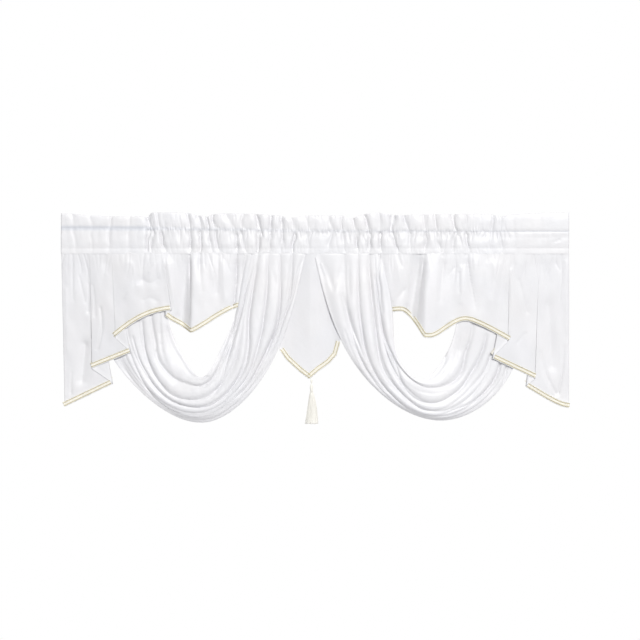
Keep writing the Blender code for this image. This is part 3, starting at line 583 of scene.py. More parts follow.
SWAG_SEAM_CALM = 12.0                # they fade in the last twelfth of the length before the front seam
CREASE_AT_FRONT_SEAM = 0.2           # down to this share there, and to this one under the tail
CREASE_UNDER_TAIL = 0.25
CREASE_FREE = (0.11, 0.08)           # place where they grow again, and over what length

# Middle panel: x at seam, x at hem, drop of the hem, forward at the seam and at the hem.
# Its hidden sides lie further back, behind the folds of the swags.
CENTRE_PANEL = (
    (-92, -98, 373, -9.0, -4.0),
    (-76, -80, 399, -8.0, -2.0),
    (-43, -45, 431, -2.5, 1.0),
    (-15, -16, 453, 2.2, 2.5),
    (9, 10, 431, 2.0, 2.0),
    (38, 42, 408, -3.0, 1.0),
    (57, 61, 386, -7.0, 1.0),
    (68, 71, 350, -8.0, 1.5),
)
PANEL_COLUMNS = 12
PANEL_ROWS = 110
PANEL_CREASES = (
    ("left fold", ((-36, 118), (-52, 170), (-70, 250)), (4, 8), (1.6, 0.8), (0,)),
    ("right fold", ((4, 118), (22, 180), (40, 260)), (4, 8), (1.4, 0.8), (0,)),
    ("rise to the right swag", ((10, 104), (27, 160), (43, 220), (59, 285), (76, 335)),
     (6, 13, 16, 17, 15), (0, -4, -6, -7, -6), (0,)),
    ("middle swell", ((-14, 150), (-14, 240), (-14, 330)), (14, 18), (-1.2, -1.0), (0,)),
)

PANEL_SEED = 41
PANEL_WAVES = 0.5            # how unevenly the panel hangs, against the other sheets

# Rows of the mesh along a hem where its cloth is doubled, and columns along a swag's two edges
HEM_ROWS = 6
EDGE_COLUMNS = 3

# Braid: two gold twists, an edge yarn on either side and a scroll between them, on a ribbed tape. Places
# across it are shares of its half width, and the rest is millimetres.
BRAID_TRIM = 9.0             # on a return the braid starts this far behind the fold; a shorter run has none
BRAID_RETURN_LEAST = 27.0    # and a return has none unless it is longer than this
BRAID_SLOPE_ROW = -4         # the cloth's slope at the hem is read up to this row of its mesh
BRAID_SMOOTHED = 6.0         # and smoothed over this length
BRAID_STRETCH_MOST = 2.0     # on a slanting hem the braid is stretched across to keep its width
BRAID_STEPS = 8              # rings of each yarn for one repeat
BRAID_FACE_GAP = 0.15
BRAID_HEM_GAP = 0.3
YARN_SIDES = 5
TWIST_PLACE = 0.53
TWIST_RADIUS = 0.42
TWIST_LIFT = 1.35
TWIST_YARN = 0.5
EDGE_PLACE = 0.72
EDGE_SCALLOP = 0.22
EDGE_SHARPNESS = 0.8
EDGE_LIFT = 0.75
EDGE_YARN = 0.6
SCROLL_REACH = 0.27
SCROLL_LIFT = 1.25
SCROLL_WAVE = 0.15
SCROLL_YARN = 0.55
TAPE_RIB = 0.12
TAPE_RIBS = 3                # ribs for one repeat
TAPE_SECTION = ((-1.0, 0.0), (-0.96, 0.5), (-0.5, 0.8), (0.0, 0.85), (0.5, 0.8), (0.96, 0.5), (1.0, 0.0))
CREAM_YARN, GOLD_YARN, GROUND_TAPE = range(3)    # the braid's materials in their order on the mesh

# Uneven hang of every sheet: pitch and height of its long soft waves and of its ripples, and how much more
# slowly they change down the cloth than across it
WAVE_PITCH = 85.0
WAVE_HEIGHT = 0.9
WAVE_DOWN = 0.6
RIPPLE_PITCH = 30.0
RIPPLE_HEIGHT = 0.28
RIPPLE_DOWN = 0.5
HEADING_RIPPLE_SEED = 7

# Tassel: drop and radius of each turned ring of its cord, knot and head
TASSEL_X = -9.5
TASSEL_FORWARD = 0.3
TASSEL_RINGS = (
    (438, 0.9),
    (452, 1.0),
    (453.5, 2.0),
    (456, 2.8),
    (459, 2.9),
    (461.5, 2.1),
    (463, 1.5),
    (465, 1.6),
    (467, 2.9),
    (471, 4.2),
    (476, 4.6),
    (481, 4.2),
    (484, 3.4),
    (487, 3.3),
    (490, 3.9),
    (492, 2.6),
)
RING_SIDES = 20
SKIRT_ROOT_DROP = 487.0      # where the skirt leaves the neck, and its radius there
SKIRT_ROOT = 3.4
SKIRT_LEVELS = (0.0, 0.12, 0.25, 0.38, 0.51, 0.64, 0.77, 0.89, 0.985, 1.0)
SKIRT_BELLY = 0.75           # below 1 the skirt spreads soon and then hangs straight
SKIRT_BULGE = 1.6            # how far the skirt leans to the right on its way down
SKIRT_FLATNESS = 0.72
STRAND_CROWD = 0.34          # below a half most strands lie on the outside
STRAND_RADIUS = 0.8
STRAND_TAPER = 0.2           # share by which a strand is thinner at its cut end
STRAND_REACH = (0.93, 1.03)  # how far out a strand ends, against its place in the skirt
STRAND_CUT = 1.6             # how much shorter than the longest strand one may be
STRAND_SWAY = 0.6
STRAND_SIDES = 4
STRAND_SEED = 11
CORE_SHARE = 0.985
CORE_SIDES = 20
CORE_INSET = 1.0             # the core ends this far above the strands' cut ends
NECK_WRAPS = 5
NECK_DROP = 483.5
NECK_PITCH = 1.1
NECK_RADIUS = 3.4
NECK_THREAD = 0.55
NECK_SEGMENTS = 28
THREAD_SEGMENTS = 8

# Stage: the picture is 640 by 640, its middle is 320 and 320, and the curtain's top edge is centred on
# column 315 and row 215. The sensor is 36 mm wide, and the other sizes here are metres.
PICTURE = 640
PICTURE_MIDDLE = 320
CURTAIN_COLUMN = 315
CURTAIN_ROW = 215
SENSOR = 36
VIEW_END = 100
FLOOR_SIZE = 3.4
LIGHT_PLACE = (2.1, -9.6, 5.0)
LIGHT_AIM = (0.0, 0.0, -0.3)
LIGHT_SIZE = (4.0, 3.4)


def linear(hex_colour, alpha=1.0):
    """Turns an sRGB hex colour into linear values."""
    parts = [int(hex_colour[i:i + 2], 16) / 255 for i in (1, 3, 5)]
    low = 0.04045
    turned = [p / 12.92 if p <= low else ((p + 0.055) / 1.055) ** 2.4 for p in parts]
    return (*turned, alpha)


class ValanceCloth(bpy.types.PropertyGroup):
    """Sizes and colours of the satin."""

    thickness: bpy.props.FloatProperty(
        name="Thickness",
        description="Thickness of the satin",
        default=0.0005,
        unit="LENGTH",
    )
    crease_strength: bpy.props.FloatProperty(
        name="Crease strength",
        description="How deep the hand-placed creases are, against those of the photograph",
        default=1.0,
        min=0.0,
        max=2.0,
    )
    wave_strength: bpy.props.FloatProperty(
        name="Wave strength",
        description="How unevenly the sheets hang",
        default=1.0,
        min=0.0,
        max=3.0,
    )
    colour: bpy.props.FloatVectorProperty(
        name="Satin",
        description="Colour of the satin",
        default=linear("#E8E8EB")[:3],
        size=3,
        subtype="COLOR",
        min=0.0,
        max=1.0,
    )
    roughness: bpy.props.FloatProperty(
        name="Roughness",
        description="How dull the satin's lustre is",
        default=0.42,
        subtype="FACTOR",
        min=0.0,
        max=1.0,
    )


class ValanceBraid(bpy.types.PropertyGroup):
    """Sizes and colours of the gimp braid."""

    width: bpy.props.FloatProperty(
        name="Width",
        description="Width of the braid between the outsides of its loops",
        default=0.015,
        unit="LENGTH",
    )
    repeat: bpy.props.FloatProperty(
        name="Repeat",
        description="Length of one repeat of the gold twist",
        default=0.008,
        unit="LENGTH",
    )
    cream: bpy.props.FloatVectorProperty(
        name="Cream",
        description="Colour of the rayon yarns",
        default=linear("#FCFAF2")[:3],
        size=3,
        subtype="COLOR",
        min=0.0,
        max=1.0,
    )
    ground: bpy.props.FloatVectorProperty(
        name="Ground",
        description="Colour of the tape that carries the yarns",
        default=linear("#F2EEE2")[:3],
        size=3,
        subtype="COLOR",
        min=0.0,
        max=1.0,
    )
    gold: bpy.props.FloatVectorProperty(
        name="Gold",
        description="Colour of the metallised thread",
        default=linear("#CDC39C")[:3],
        size=3,
        subtype="COLOR",
        min=0.0,
        max=1.0,
    )


class ValanceTassel(bpy.types.PropertyGroup):
    """Sizes and colour of the tassel."""

    strands: bpy.props.IntProperty(
        name="Strands",
        description="Number of strands in the skirt",
        default=280,
        min=20,
        max=1000,
    )
    drop: bpy.props.FloatProperty(
        name="Drop",
        description="Distance from the top edge of the curtain to the skirt's cut ends",
        default=0.5755,
        unit="LENGTH",
    )
    spread: bpy.props.FloatProperty(
        name="Spread",
        description="Radius of the skirt at its cut ends",
        default=0.0182,
        unit="LENGTH",
    )
    colour: bpy.props.FloatVectorProperty(
        name="Yarn",
        description="Colour of the tassel's yarn",
        default=linear("#FCFAF3")[:3],
        size=3,
        subtype="COLOR",
        min=0.0,
        max=1.0,
    )


class ValanceStage(bpy.types.PropertyGroup):
    """Floor, light and camera."""

    pixel: bpy.props.FloatProperty(
        name="Pixel",
        description="Width on the curtain that one of the picture's 640 columns covers",
        default=0.0027559,
        unit="LENGTH",
        precision=6,
    )
    distance: bpy.props.FloatProperty(
        name="Camera distance",
        description="Distance from the camera to the curtain",
        default=5.0,
        unit="LENGTH",
    )
    floor_drop: bpy.props.FloatProperty(
        name="Floor",
        description="Distance from the top edge down to the floor",
        default=1.6,
        unit="LENGTH",
    )
    sky: bpy.props.FloatProperty(
        name="Surround",
        description="Brightness of the white surround",
        default=1.0,
        min=0.0,
    )
    room_low: bpy.props.FloatProperty(
        name="Room below",
        description="Brightness of the room in front of the curtain, low down",
        default=0.17,
        min=0.0,
    )
    room_high: bpy.props.FloatProperty(
        name="Room above",
        description="Brightness of the room in front of the curtain, high up",
        default=0.36,
        min=0.0,
    )
    key: bpy.props.FloatProperty(
        name="Key light",
        description="Power of the large light above and to the right of the camera",
        default=1160.0,
        unit="POWER",
    )


def to_world(points):
    """Turns rows of (x, drop, forward) in millimetres into places in metres."""
    points = np.asarray(points, dtype=float)
    return np.stack([points[..., 0], -points[..., 2], -points[..., 1]], axis=-1) * MM


def b_spline_weights(count, steps):
    """Weights that read a cubic curve through count control rows, ends included."""
    rows = []
    padded = np.vstack([np.eye(count)[[0, 0]], np.eye(count), np.eye(count)[[-1, -1]]])
    for i in range(len(padded) - 3):
        for k in range(steps):
            u = k / steps
            weights = np.array([
                (1 - u) ** 3,
                3 * u ** 3 - 6 * u ** 2 + 4,
                -3 * u ** 3 + 3 * u ** 2 + 3 * u + 1,
                u ** 3,
            ]) / 6
            rows.append(weights @ padded[i:i + 4])
    rows.append(padded[-1])
    return np.array(rows)


def b_spline(controls, steps):
    """Reads a smooth cubic curve that starts and ends at the first and last control rows."""
    controls = np.array(controls, dtype=float)
    return b_spline_weights(len(controls), steps) @ controls


def natural_spline(knots, values, places):
    """Natural cubic spline through the rows of values, read at places."""
    n = len(knots)
    step = np.diff(knots)
    slope = np.diff(values, axis=0) / step[:, None]
    matrix = np.eye(n)
    right = np.zeros_like(values)
    for i in range(1, n - 1):
        matrix[i, i - 1] = step[i - 1]
        matrix[i, i] = 2 * (step[i - 1] + step[i])
        matrix[i, i + 1] = step[i]
        right[i] = 6 * (slope[i] - slope[i - 1])
    bend = np.linalg.solve(matrix, right)
    span = np.clip(np.searchsorted(knots, places, side="right") - 1, 0, n - 2)
    h = step[span][:, None]
    a = (knots[span + 1] - places)[:, None]
    b = (places - knots[span])[:, None]
    low = bend[span] * a ** 3 / (6 * h) + (values[span] / h - bend[span] * h / 6) * a
    high = bend[span + 1] * b ** 3 / (6 * h) + (values[span + 1] / h - bend[span + 1] * h / 6) * b
    return low + high


def ramp(past, reach, least=0.0):
    """Share of its reach that a distance has covered, from least to 1."""
    return np.clip(past / reach, least, 1)


def between(pair, share):
    """Value that lies a share of the way from the first of a pair to the second."""
    return pair[0] + (pair[1] - pair[0]) * share


def read_line(line, x):
    """Reads a table of rows (x, value) at x."""
    places, values = np.array(line, dtype=float).T
    return np.interp(x, places, values)


def read_rows(places, knots, rows):
    """Reads rows of values, one for each knot, at places between the knots."""
    return np.stack([np.interp(places, knots, column) for column in rows.T], axis=1)


def running(steps):
    """Running length along a row of steps, from zero."""
    return np.concatenate([[0], np.cumsum(steps)])


def unit(rows):
    """Rows of directions, each brought to length one."""
    return rows / np.linalg.norm(rows, axis=1)[:, None]


def wander(x, y, pitch, seed):
    """A smooth uneven field of about -1 to 1, the same each run."""
    rng = np.random.default_rng(seed)
    total = np.zeros_like(x, dtype=float)
    for _ in range(WANDER_WAVES):
        angle = rng.uniform(0, 2 * math.pi)
        turn = 2 * math.pi / (pitch * rng.uniform(*WANDER_PITCHES))
        phase = rng.uniform(0, 2 * math.pi)
        total += np.sin((x * math.cos(angle) + y * math.sin(angle)) * turn + phase)
    return total / math.sqrt(WANDER_WAVES)


def curve_points(points, spacing):
    """Places at an even spacing on a smooth curve through a few points."""
    points = np.array(points, dtype=float)
    knots = running(np.hypot(*np.diff(points, axis=0).T))
    count = max(3, int(knots[-1] / spacing) + 2)
    return natural_spline(knots, points, np.linspace(0, knots[-1], count))


def along_curve(values, shares):
    """Reads a few values that are spread evenly along a curve."""
    return np.interp(shares, np.linspace(0, 1, len(values)), values)


def crease_depth(x, drop, creases, widened=1.0):
    """Depth that the listed creases press into the cloth at each place."""
    depth = np.zeros_like(x, dtype=float)
    for _, points, widths, depths, lips in creases:
        curve = curve_points(points, CREASE_SPACING)
        reach = CREASE_REACH * max(widths)
        low = curve.min(axis=0) - reach
        high = curve.max(axis=0) + reach
        near = (x > low[0]) & (x < high[0]) & (drop > low[1]) & (drop < high[1])
        if not near.any():
            continue
        place = np.stack([x[near], drop[near]], axis=1)
        start = curve[:-1]
        run = np.diff(curve, axis=0)
        length = np.hypot(*run.T)
        offset = place[:, None] - start
        share = np.clip((offset * run).sum(axis=2) / length ** 2, 0, 1)
        offset = offset - run * share[..., None]
        gap = np.hypot(offset[..., 0], offset[..., 1])
        nearest = gap.argmin(axis=1)
        row = np.arange(len(place))
        gap = gap[row, nearest]
        along = (nearest + share[row, nearest]) / len(run)
        side = run[nearest, 0] * offset[row, nearest, 1] - run[nearest, 1] * offset[row, nearest, 0]
        width = along_curve(widths, along) * widened
        lip = along_curve(lips, along) * np.sign(side)
        lowered = lip < 0
        spread = np.where(lowered, LIP_SPREAD_LOW, LIP_SPREAD_HIGH) * width
        held = np.where(lowered, LIP_SHARE_LOW, 1 - LIP_SHARE_LOW)
        depth[near] += along_curve(depths, along) * np.exp(-(gap / width) ** CREASE_POWER)
        depth[near] -= lip * held * np.exp(-gap / spread)
    return depth


def gathers(start, stop, line, way, pitch, reach, depth, seed):
    """Small uneven creases that run from a sewn line, as rows of a crease table."""
    rng = np.random.default_rng(seed)
    rows = []
    x = start + pitch * rng.uniform(0, 1)
    while x < stop:
        length = reach * rng.uniform(*GATHER_LENGTHS) ** GATHER_SHORTNESS
        slant = length * rng.uniform(-GATHER_SLANT, GATHER_SLANT)
        bow = length * rng.uniform(-GATHER_BOW, GATHER_BOW)
        width = rng.uniform(*GATHER_WIDTHS)
        deep = depth * rng.uniform(*GATHER_DEPTHS)
        drop = read_line(line, x) + way * rng.uniform(*GATHER_STARTS)
        points = (
            (x, drop),
            (x + slant / 2 + bow, drop + way * length / 2),
            (x + slant, drop + way * length),
        )
        depths = (deep, deep * GATHER_MIDDLE_DEPTH, 0)
        rows.append(("gather", points, (width, width * GATHER_WIDENS), depths, (0,)))
        x += pitch * rng.uniform(*GATHER_SPACING)
    return rows


def hang_unevenly(grid, seed, strength):
    """Adds the long soft waves of real cloth to a sheet."""
    x = grid[..., 0]
    drop = grid[..., 1]
    waves = WAVE_HEIGHT * wander(x, drop * WAVE_DOWN, WAVE_PITCH, seed)
    ripples = RIPPLE_HEIGHT * wander(x, drop * RIPPLE_DOWN, RIPPLE_PITCH, seed + 1)
    grid[..., 2] += (waves + ripples) * ramp(drop - SEAM_DROP, SEAM_CALM) * strength


def grid_faces(rows, columns):
    """Four-sided faces of a grid whose points run row by row."""
    index = np.arange(rows * columns).reshape(rows, columns)
    corners = (index[:-1, :-1], index[1:, :-1], index[1:, 1:], index[:-1, 1:])
    return np.stack([c.ravel() for c in corners], axis=1)


def cloth_lengths(grid):
    """Running lengths across and down a sheet, in metres, for its pattern map."""
    across = np.linalg.norm(np.diff(grid, axis=1), axis=2).mean(axis=0)
    down = np.linalg.norm(np.diff(grid, axis=0), axis=2).mean(axis=1)
    return np.meshgrid(running(across) * MM, running(down) * MM)


def add_mesh(name, places, faces):
    """Makes one smooth-shaded object from places in metres and each face's corners."""
    mesh = bpy.data.meshes.new(name)
    mesh.from_pydata(places.tolist(), [], faces)
    mesh.shade_smooth()
    piece = bpy.data.objects.new(name, mesh)
    bpy.context.collection.objects.link(piece)
    return piece


def add_map(mesh, u, v):
    """Lays a pattern map over a mesh from each point's place in the flat cloth."""
    layer = mesh.uv_layers.new(name="cloth")
    corners = np.zeros(len(mesh.loops), dtype=np.int32)
    mesh.loops.foreach_get("vertex_index", corners)
    flat = np.stack([u.ravel()[corners], v.ravel()[corners]], axis=1)
    layer.uv.foreach_set("vector", flat.ravel())


def add_values(mesh, name, values):
    """Gives a mesh a named value at each point."""
    layer = mesh.attributes.new(name, "FLOAT", "POINT")
    layer.data.foreach_set("value", np.asarray(values, dtype=np.float32).ravel())


def add_cloth(name, grid, material, doubled, flip=False):
    """Makes a sheet of satin from the grid of its middle surface."""
    rows, columns, _ = grid.shape
    faces = grid_faces(rows, columns)
    if flip:
        faces = faces[:, ::-1]
    piece = add_mesh(name, to_world(grid).reshape(-1, 3), faces.tolist())
    add_map(piece.data, *cloth_lengths(grid))
    add_values(piece.data, "doubled", doubled)
    body = piece.modifiers.new("cloth", "SOLIDIFY")
    body.thickness = bpy.context.scene.valance_cloth.thickness
    body.offset = 0.0
    piece.data.materials.append(material)
    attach(piece, ROOT)
    return piece


def add_node(tree, kind, settings=None, values=None, links=()):
    """Adds a node with its settings, its socket values and its incoming links."""
    node = tree.nodes.new(kind)
    for key, value in (settings or {}).items():
        setattr(node, key, value)
    for key, value in (values or {}).items():
        node.inputs[key].default_value = value
    for source, socket in links:
        tree.links.new(source, node.inputs[socket])
    return node


def wave_scale(pitch):
    """Scale of a wave texture whose bands lie pitch metres apart."""
    return 2 * math.pi / (20 * pitch)


def new_material(name, colour):
    """A new material with its shown colour, and its empty node tree."""
    material = bpy.data.materials.new(name)
    material.use_nodes = True
    material.diffuse_color = (*colour, 1.0)
    material.node_tree.nodes.clear()
    return material, material.node_tree


def satin_material():
    """Woven polyester satin: long floats give a soft lustre, and thin cloth lets some light through."""
    name = "white polyester satin"
    found = bpy.data.materials.get(name)
    if found:
        return found
    cloth = bpy.context.scene.valance_cloth
    material, tree = new_material(name, cloth.colour)
    flat = add_node(tree, "ShaderNodeUVMap", {"uv_map": "cloth"}).outputs["UV"]
    # The real floats are about 0.15 mm wide; they are drawn at 0.8 mm so that they show.
    floats = add_node(
        tree,
        "ShaderNodeTexWave",
        {"wave_type": "BANDS", "bands_direction": "DIAGONAL"},
        {"Scale": wave_scale(0.0008), "Distortion": 1.5, "Detail": 1.0},
        [(flat, "Vector")],
    )
    # Handling leaves soft dents about 24 mm across, and the white drifts a little over about 170 mm.
    crumple = add_node(
        tree,
        "ShaderNodeTexNoise",
        {},
        {"Scale": 42.0, "Detail": 3.0, "Roughness": 0.55},
        [(flat, "Vector")],
    )
    tint = add_node(
        tree,
        "ShaderNodeTexNoise",
        {},
        {"Scale": 6.0, "Detail": 2.0},
        [(flat, "Vector")],
    )
    weave_bump = add_node(
        tree,
        "ShaderNodeBump",
        {},
        {"Strength": 0.25, "Distance": 0.00006},
        [(floats.outputs["Fac"], "Height")],
    )
    bump = add_node(
        tree,
        "ShaderNodeBump",
        {},
        {"Strength": 0.6, "Distance": 0.0008},
        [(crumple.outputs["Fac"], "Height"), (weave_bump.outputs["Normal"], "Normal")],
    )
    colour = add_node(
        tree,
        "ShaderNodeMix",
        {"data_type": "RGBA"},
        {"A": linear("#E6E7EB"), "B": linear("#EBE9E9")},
        [(tint.outputs["Fac"], "Factor")],
    )
    # The close stitches of the drawn-in band shade the satin between them.
    # Painted shade: along the stitch line the satin's colour is darkened toward grey-blue, standing in for
    # the groove's shade.
    painted_stitch_shade = add_node(tree, "ShaderNodeAttribute", {"attribute_name": "painted_stitch_shade"})
    colour = add_node(
        tree,
        "ShaderNodeMix",
        {"data_type": "RGBA"},
        {"B": linear("#D8DAE0")},
        [(painted_stitch_shade.outputs["Fac"], "Factor"), (colour.outputs["Result"], "A")],
    )
    shader = add_node(
        tree,
        "ShaderNodeBsdfPrincipled",
        {},
        {
            "Roughness": cloth.roughness,
            "IOR": 1.5,
            "Sheen Weight": 0.25,
            "Sheen Roughness": 0.35,
        },
        [(colour.outputs["Result"], "Base Color"), (bump.outputs["Normal"], "Normal")],
    )
    through = add_node(
        tree,
        "ShaderNodeBsdfTranslucent",
        {},
        {"Color": linear("#F4F4F6")},
        [(bump.outputs["Normal"], "Normal")],
    )
    # Doubled cloth, in the hems and the seam band, lets less light through.
    doubled = add_node(tree, "ShaderNodeAttribute", {"attribute_name": "doubled"})
    share = add_node(
        tree,
        "ShaderNodeMapRange",
        {},
        {"From Min": 0.0, "From Max": 1.0, "To Min": 0.10, "To Max": 0.02},
        [(doubled.outputs["Fac"], "Value")],
    )
    mixed = add_node(
        tree,
        "ShaderNodeMixShader",
        {},
        {},
        [
            (share.outputs["Result"], 0),
            (shader.outputs["BSDF"], 1),
            (through.outputs["BSDF"], 2),
        ],
    )
    add_node(
        tree,
        "ShaderNodeOutputMaterial",
        {},
        {},
        [(mixed.outputs["Shader"], "Surface")],
    )
    return material


def yarn_material(name, colour, roughness, metallic, sheen, through=0.0):
    """Spun or wrapped yarn: fine fibres across its length give it a soft shine."""
    found = bpy.data.materials.get(name)
    if found:
        return found
    material, tree = new_material(name, colour)
    place = add_node(tree, "ShaderNodeTexCoord").outputs["Object"]
    # Fibres are about 0.02 mm; the fleck is drawn at 0.6 mm so that it shows.
    fibre = add_node(
        tree,
        "ShaderNodeTexNoise",
        {},
        {"Scale": 1600.0, "Detail": 2.0},
        [(place, "Vector")],
    )
    bump = add_node(
        tree,
        "ShaderNodeBump",
        {},
        {"Strength": 0.35, "Distance": 0.0002},
        [(fibre.outputs["Fac"], "Height")],
    )
    shade = add_node(
        tree,
        "ShaderNodeMapRange",
        {},
        {"From Min": 0.3, "From Max": 0.7, "To Min": 0.86, "To Max": 1.06},
        [(fibre.outputs["Fac"], "Value")],
    )
    tone = add_node(
        tree,
        "ShaderNodeVectorMath",
        {"operation": "SCALE"},
        {0: colour},
        [(shade.outputs["Result"], "Scale")],
    )
    shader = add_node(
        tree,
        "ShaderNodeBsdfPrincipled",
        {},
        {
            "Roughness": roughness,
            "Metallic": metallic,
            "Sheen Weight": sheen,
            "Sheen Roughness": 0.4,
        },
        [(tone.outputs["Vector"], "Base Color"), (bump.outputs["Normal"], "Normal")],
    )
    surface = shader.outputs["BSDF"]
    if through:
        glow = add_node(
            tree,
            "ShaderNodeBsdfTranslucent",
            {},
            {"Color": (*colour, 1.0)},
            [(bump.outputs["Normal"], "Normal")],
        )
        mixed = add_node(
            tree,
            "ShaderNodeMixShader",
            {},
            {0: through},
            [(surface, 1), (glow.outputs["BSDF"], 2)],
        )
        surface = mixed.outputs["Shader"]
    add_node(tree, "ShaderNodeOutputMaterial", {}, {}, [(surface, "Surface")])
    return material


def heading_columns(start, stop):
    """Places of the heading's columns, closer together where the strip is gathered."""
    spans = (
        (start, GATHERED_FROM, HEADING_PITCH_PLAIN),
        (GATHERED_FROM, GATHERED_TO, HEADING_PITCH_GATHERED),
        (GATHERED_TO, stop, HEADING_PITCH_PLAIN),
    )
    places = [np.linspace(a, b, int((b - a) / pitch), endpoint=False) for a, b, pitch in spans]
    return np.concatenate([*places, [stop]])


def stitch_shade_strength(grid):
    """How strongly the painted shade of the stitch line shows at each point of the heading."""
    x = grid[..., 0]
    places, halves, shows = np.array(PAINTED_STITCH_SHADE, dtype=float).T
    from_stitch = np.abs(grid[..., 1] - read_line(STITCH_LINE, x)) / np.interp(x, places, halves)
    uneven = STITCH_VARIES * wander(x, grid[..., 1] * 0, *STITCH_STRENGTHS)
    broken = np.clip(1 + uneven * (np.abs(x) < STITCH_VARIES_WITHIN), *STITCH_STRENGTH_RANGE)
    return np.exp(-from_stitch ** STITCH_EDGE) * np.interp(x, places, shows) * broken


def fold_relief(folds, wide, drop, stitch):
    """Swells of the heading's folds and the creases between them."""
    below = ramp(drop - stitch, BELOW_STITCH)
    to_seam = ramp(drop - stitch, SEAM_DROP - stitch)
    to_top = ramp(stitch - drop, stitch)
    places = [
        at_stitch + (at_seam - at_stitch) * to_seam + (at_top - at_stitch) * to_top
        for at_top, at_stitch, at_seam in folds[:, :3]
    ]
    swell = np.zeros_like(drop)
    crease = np.zeros_like(drop)
    slow = wide * CREASE_FIELD_ACROSS
    bent = wide + CREASE_WANDER * wander(wide, drop * CREASE_STRAYS_DOWN, *CREASE_STRAYS)
    for i, (place, fold) in enumerate(zip(places, folds)):
        pitch, seed = CREASE_DEPTHS
        deep = between(fold[5:7], below) * (1 + CREASE_DEPTH_VARIES * wander(slow, drop, pitch, seed + i))
        pitch, seed = CREASE_WIDTHS
        width = CREASE_WIDTH * (1 + CREASE_WIDTH_VARIES * wander(slow, drop, pitch, seed + i))
        crease += CREASE_SHARE * deep * np.exp(-(np.abs(bent - place) / width) ** CREASE_POWER)
        if i + 1 < len(folds):
            share = np.clip((bent - place) / (places[i + 1] - place), 0, 1)
            swell += SWELL_SHARE * fold[4] * np.sin(math.pi * share) ** SWELL_POWER
    return swell, np.minimum(crease, CREASE_MOST)


def stitch_puckers(wide, drop, stitch):
    """Puckers along the stitch line, at their full height where the strip is gathered."""
    x = wide[0]
    gathered = ramp(x - GATHERED_FROM, GATHERED_CHANGE) * ramp(GATHERED_TO - x, GATHERED_CHANGE)
    phase = wide / PUCKER_PITCH + PUCKER_SHIFT * wander(wide, drop * PUCKER_PLACES_DOWN, *PUCKER_PLACES)
    uneven = PUCKER_HEIGHT + PUCKER_VARIES * wander(wide, drop * 0, *PUCKER_HEIGHTS)
    height = np.clip(uneven, *PUCKER_HEIGHT_RANGE) * PUCKER_DEPTH * between((PLAIN_SHARE, 1), gathered)
    near = np.exp(-(np.abs(drop - stitch) / PUCKER_REACH) ** PUCKER_FADE)
    return np.abs(np.sin(math.pi * phase)) ** PUCKER_ROUNDNESS * height * near


def heading_gathers():
    """Small gathers of the heading, one zone after the other."""
    return [
        row
        for start, stop, share in GATHER_ZONES
        for line, way, pitch, reach, depth, seed in HEADING_GATHERS
        for row in gathers(start, stop, line, way, pitch, reach, depth * share, seed)
    ]


def heading_surface(strength):
    """Middle surface of the heading: up the back, over the top edge, down the front, under the lip."""
    folds = np.array(HEADING_FOLDS, dtype=float)
    x = heading_columns(folds[0, 1], folds[-1, 1])
    stitch = read_line(STITCH_LINE, x)
    rise = np.interp(x, folds[:, 0], folds[:, 3])
    section = np.array(HEADING_BACK + HEADING_FRONT, dtype=float)
    weights = b_spline_weights(len(section), HEADING_ROW_STEPS)
    row_drop, stitch_share, row_forward, swell_share, crease_share = section.T[..., None]
    lift = np.clip(1 - row_drop / RISE_REACH, 0, 1) * (stitch_share == 0)
    drop = weights @ (row_drop + stitch_share * stitch - lift * rise)
    forward = weights @ np.repeat(row_forward, len(x), axis=1)
    swell_share = weights @ swell_share
    crease_share = weights @ crease_share
    wide = np.repeat(x[None, :], len(drop), axis=0)
    flat_end = np.exp(-(np.maximum(drop - stitch, 0) / FLAT_END_REACH) ** 2)
    forward += read_line(FLAT_END, x) * flat_end
    swell, crease = fold_relief(folds, wide, drop, stitch)
    creases = (*HEADING_CREASES, *heading_gathers())
    extra = crease_depth(wide, drop, creases) * np.clip(crease_share, 0, 1)
    forward += swell * swell_share - strength * (crease * crease_share + extra)
    forward += (stitch_puckers(wide, drop, stitch) - PUCKER_DEPTH / 2) * (crease_share > 0)
    forward += RIPPLE_HEIGHT * wander(wide, drop, RIPPLE_PITCH, HEADING_RIPPLE_SEED)
    return np.stack([wide, drop, forward], axis=-1)


def fold_controls(rows):
    """Control rows of a tail's section. A fold becomes four rows, so that the cloth turns round it."""
    controls = []
    for i, (_, x_seam, x_hem, drop, before, after) in enumerate(rows):
        if before == after:
            controls.append((x_seam, x_hem, drop, after))
            continue
        for other, forward in ((rows[i - 1], before), (rows[i + 1], after)):
            reach = SETBACK_HEM / abs(other[2] - x_hem)
            seam_side = math.copysign(SETBACK_SEAM, other[1] - x_seam)
            set_back = (
                x_seam + seam_side,
                x_hem + (other[2] - x_hem) * reach,
                drop + (other[3] - drop) * reach,
                forward,
            )
            turn = (x_seam, x_hem, drop, forward)
            controls += [set_back, turn] if other is rows[i - 1] else [turn, set_back]
    return controls


